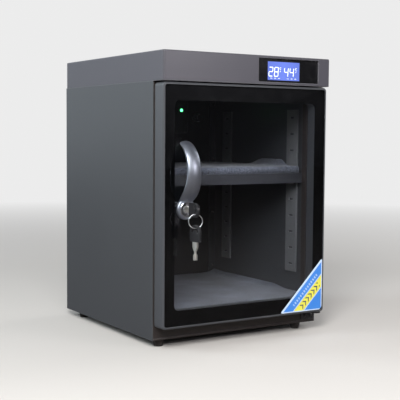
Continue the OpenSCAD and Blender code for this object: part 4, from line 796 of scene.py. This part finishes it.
def seats_of(name):
    """Seat and outward axis of each screw in a CAD node: the head is at the wide end of the long side."""
    mesh = bmesh.new()
    mesh.from_mesh(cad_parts[name].data)
    bmesh.ops.remove_doubles(mesh, verts=mesh.verts, dist=0.00001)
    left, seats = set(mesh.verts), []
    while left:
        island, edge = set(), [left.pop()]
        while edge:
            vert = edge.pop()
            island.add(vert)
            for other in (e.other_vert(vert) for e in vert.link_edges):
                if other in left:
                    left.discard(other)
                    edge.append(other)
        points = [v.co.copy() for v in island]
        lo = Vector([min(p[i] for p in points) for i in range(3)])
        hi = Vector([max(p[i] for p in points) for i in range(3)])
        middle, size = (lo + hi) / 2, hi - lo
        long = max(range(3), key=lambda i: size[i])
        sides = [i for i in range(3) if i != long]
        reach = 0.45 * min(size[i] for i in sides)
        ends = [p[long] for p in points if max(abs(p[i] - middle[i]) for i in sides) > reach]
        out = 1.0 if sum(ends) / len(ends) > middle[long] else -1.0
        seat = middle.copy()
        seat[long] = min(ends) if out > 0 else max(ends)
        seats.append((seat, Vector([out if i == long else 0.0 for i in range(3)])))
    mesh.free()
    return seats


def set_screws(node, finish, tree, screw_key, finish_key, slot_name):
    seats = seats_of(node)
    places = bpy.data.meshes.new(node + "_places")
    places.from_pydata([seat for seat, _ in seats], [], [])
    axis = places.attributes.new("axis", "FLOAT_VECTOR", "POINT")
    for item, (_, out) in zip(axis.data, seats):
        item.vector = out
    holder = bpy.data.objects.new(node + "_holder", places)
    bpy.context.scene.collection.objects.link(holder)
    modifier = holder.modifiers.new("screws", "NODES")
    modifier.node_group = tree
    modifier[screw_key] = SCREW
    modifier[finish_key] = FINISH[finish]
    bpy.context.view_layer.update()
    made = bpy.data.meshes.new_from_object(holder.evaluated_get(bpy.context.evaluated_depsgraph_get()))
    bpy.data.objects.remove(holder)
    piece = bpy.data.objects.new(node + "_cross", made)
    bpy.context.scene.collection.objects.link(piece)
    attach(piece, "cabinet")
    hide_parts(node)


SCREW = screw_shape()
SCREW_TREE = screw_tree()
for node in ("vent_cover_screws", "back_panel_screws", "cap_screws"):
    set_screws(node, "dark_screw", *SCREW_TREE, "dark_screw")


# Camera, floor, light
def aim_camera():
    """Camera at the photograph's place: yaw, pitch, roll and focal length fitted to the cabinet's edges."""
    yaw, pitch, roll = math.radians(32.22), math.radians(-4.04), math.radians(0.41)
    forward = Vector((math.sin(yaw) * math.cos(pitch), math.cos(yaw) * math.cos(pitch), math.sin(pitch)))
    right = Vector((math.cos(yaw), -math.sin(yaw), 0.0))
    up = right.cross(forward)
    right_rolled = math.cos(roll) * right + math.sin(roll) * up
    up_rolled = -math.sin(roll) * right + math.cos(roll) * up
    data = bpy.data.cameras.new("Camera")
    data.sensor_width = 36.0
    data.lens = 935.7 / 400 * 36.0
    data.clip_start, data.clip_end = 0.01, 60.0
    camera = bpy.data.objects.new("Camera", data)
    bpy.context.scene.collection.objects.link(camera)
    turn = Matrix((right_rolled, up_rolled, -forward)).transposed()
    place = Vector((LEFT_X - 0.6122, FRONT_Y - 1.0628, 0.2902))
    camera.matrix_world = Matrix.Translation(place) @ turn.to_4x4()
    bpy.context.scene.camera = camera


PALE = (0.84, 0.84, 0.84)


def lay_floor():
    size = 6.0
    mesh = bpy.data.meshes.new("floor")
    corners = [(-size, -size, 0), (size, -size, 0), (size, size, 0), (-size, size, 0)]
    mesh.from_pydata(corners, [], [(0, 1, 2, 3)])
    floor = bpy.data.objects.new("floor", mesh)
    bpy.context.scene.collection.objects.link(floor)
    material, tree, shader = bare_material("Pale Floor")
    shader.inputs["Base Color"].default_value = (0.72, 0.69, 0.65, 1)
    shader.inputs["Roughness"].default_value = 0.75
    path = add(tree, "ShaderNodeLightPath")
    dark = add(tree, "ShaderNodeBsdfDiffuse")
    dark.inputs[0].default_value = (0.13, 0.12, 0.115, 1)
    mix = add(tree, "ShaderNodeMixShader")
    link(tree, path.outputs["Is Glossy Ray"], mix.inputs[0])
    link(tree, shader.outputs[0], mix.inputs[1])
    link(tree, dark.outputs[0], mix.inputs[2])
    # far from the cabinet the floor fades into the pale surroundings
    far = add(tree, "ShaderNodeVectorMath", operation="LENGTH")
    link(tree, object_point(tree), far.inputs[0])
    fade = maths(tree, "MULTIPLY", remap(tree, far.outputs["Value"], 0.7, 2.6), path.outputs["Is Camera Ray"])
    pale = add(tree, "ShaderNodeEmission")
    pale.inputs[0].default_value = (*PALE, 1)
    blend = add(tree, "ShaderNodeMixShader")
    link(tree, fade, blend.inputs[0])
    link(tree, mix.outputs[0], blend.inputs[1])
    link(tree, pale.outputs[0], blend.inputs[2])
    link(tree, blend.outputs[0], tree.nodes["Material Output"].inputs[0])
    mesh.materials.append(material)


def light_world():
    """Pale surroundings for the camera, a dim glow for the light and a darker room before the door."""
    world = bpy.data.worlds.new("Studio")
    bpy.context.scene.world = world
    world.use_nodes = True
    tree = world.node_tree
    back = tree.nodes["Background"]
    path = add(tree, "ShaderNodeLightPath")
    point = add(tree, "ShaderNodeTexCoord").outputs["Generated"]
    split = add(tree, "ShaderNodeSeparateXYZ")
    link(tree, point, split.inputs[0])
    behind = remap(tree, split.outputs[1], -0.2, 0.6)
    room = mix_colour(tree, behind, (0.045, 0.045, 0.050), (0.72, 0.80, 0.86))
    # a ray that has met a surface inside takes the dim glow, also where it leaves through the glass
    met = maths(tree, "ADD", path.outputs["Diffuse Depth"], path.outputs["Glossy Depth"])
    direct = maths(tree, "LESS_THAN", met, 0.5)
    through = maths(tree, "MULTIPLY", path.outputs["Is Transmission Ray"], direct)
    seen = maths(tree, "MAXIMUM", path.outputs["Is Camera Ray"], through)
    glow = mix_colour(tree, path.outputs["Is Glossy Ray"], (0.20, 0.20, 0.21), room)
    colour = mix_colour(tree, seen, glow, PALE)
    link(tree, colour, back.inputs[0])
    back.inputs[1].default_value = 1.0


def soft_box(name, place, target, width, height, power, colour=(1, 1, 1)):
    data = bpy.data.lights.new(name, "AREA")
    data.shape = "RECTANGLE"
    data.size, data.size_y = width, height
    data.energy = power
    data.color = colour
    lamp = bpy.data.objects.new(name, data)
    lamp.location = place
    lamp.rotation_euler = (Vector(target) - Vector(place)).to_track_quat("-Z", "Y").to_euler()
    bpy.context.scene.collection.objects.link(lamp)


aim_camera()
lay_floor()
light_world()
soft_box("key_left", (-0.95, -1.15, 1.0), (-0.1, -0.15, 0.3), 0.5, 0.7, 20)
soft_box("front_top", (-0.9, -1.5, 1.8), (0, 0, 0.2), 0.9, 0.7, 16)
soft_box("side_back", (-1.6, 0.9, 1.0), (0, 0, 0.25), 0.8, 1.0, 15, (0.84, 0.94, 1.0))
soft_box("cap_sheen", (0.42, -1.2, 0.62), (-0.12, -0.15, 0.38), 0.4, 0.22, 3, (1.0, 0.96, 1.0))
soft_box("fill_right", (2.2, 0.2, 1.4), (0, 0, 0.2), 0.9, 0.9, 14)
bpy.context.scene.view_settings.view_transform = "Standard"
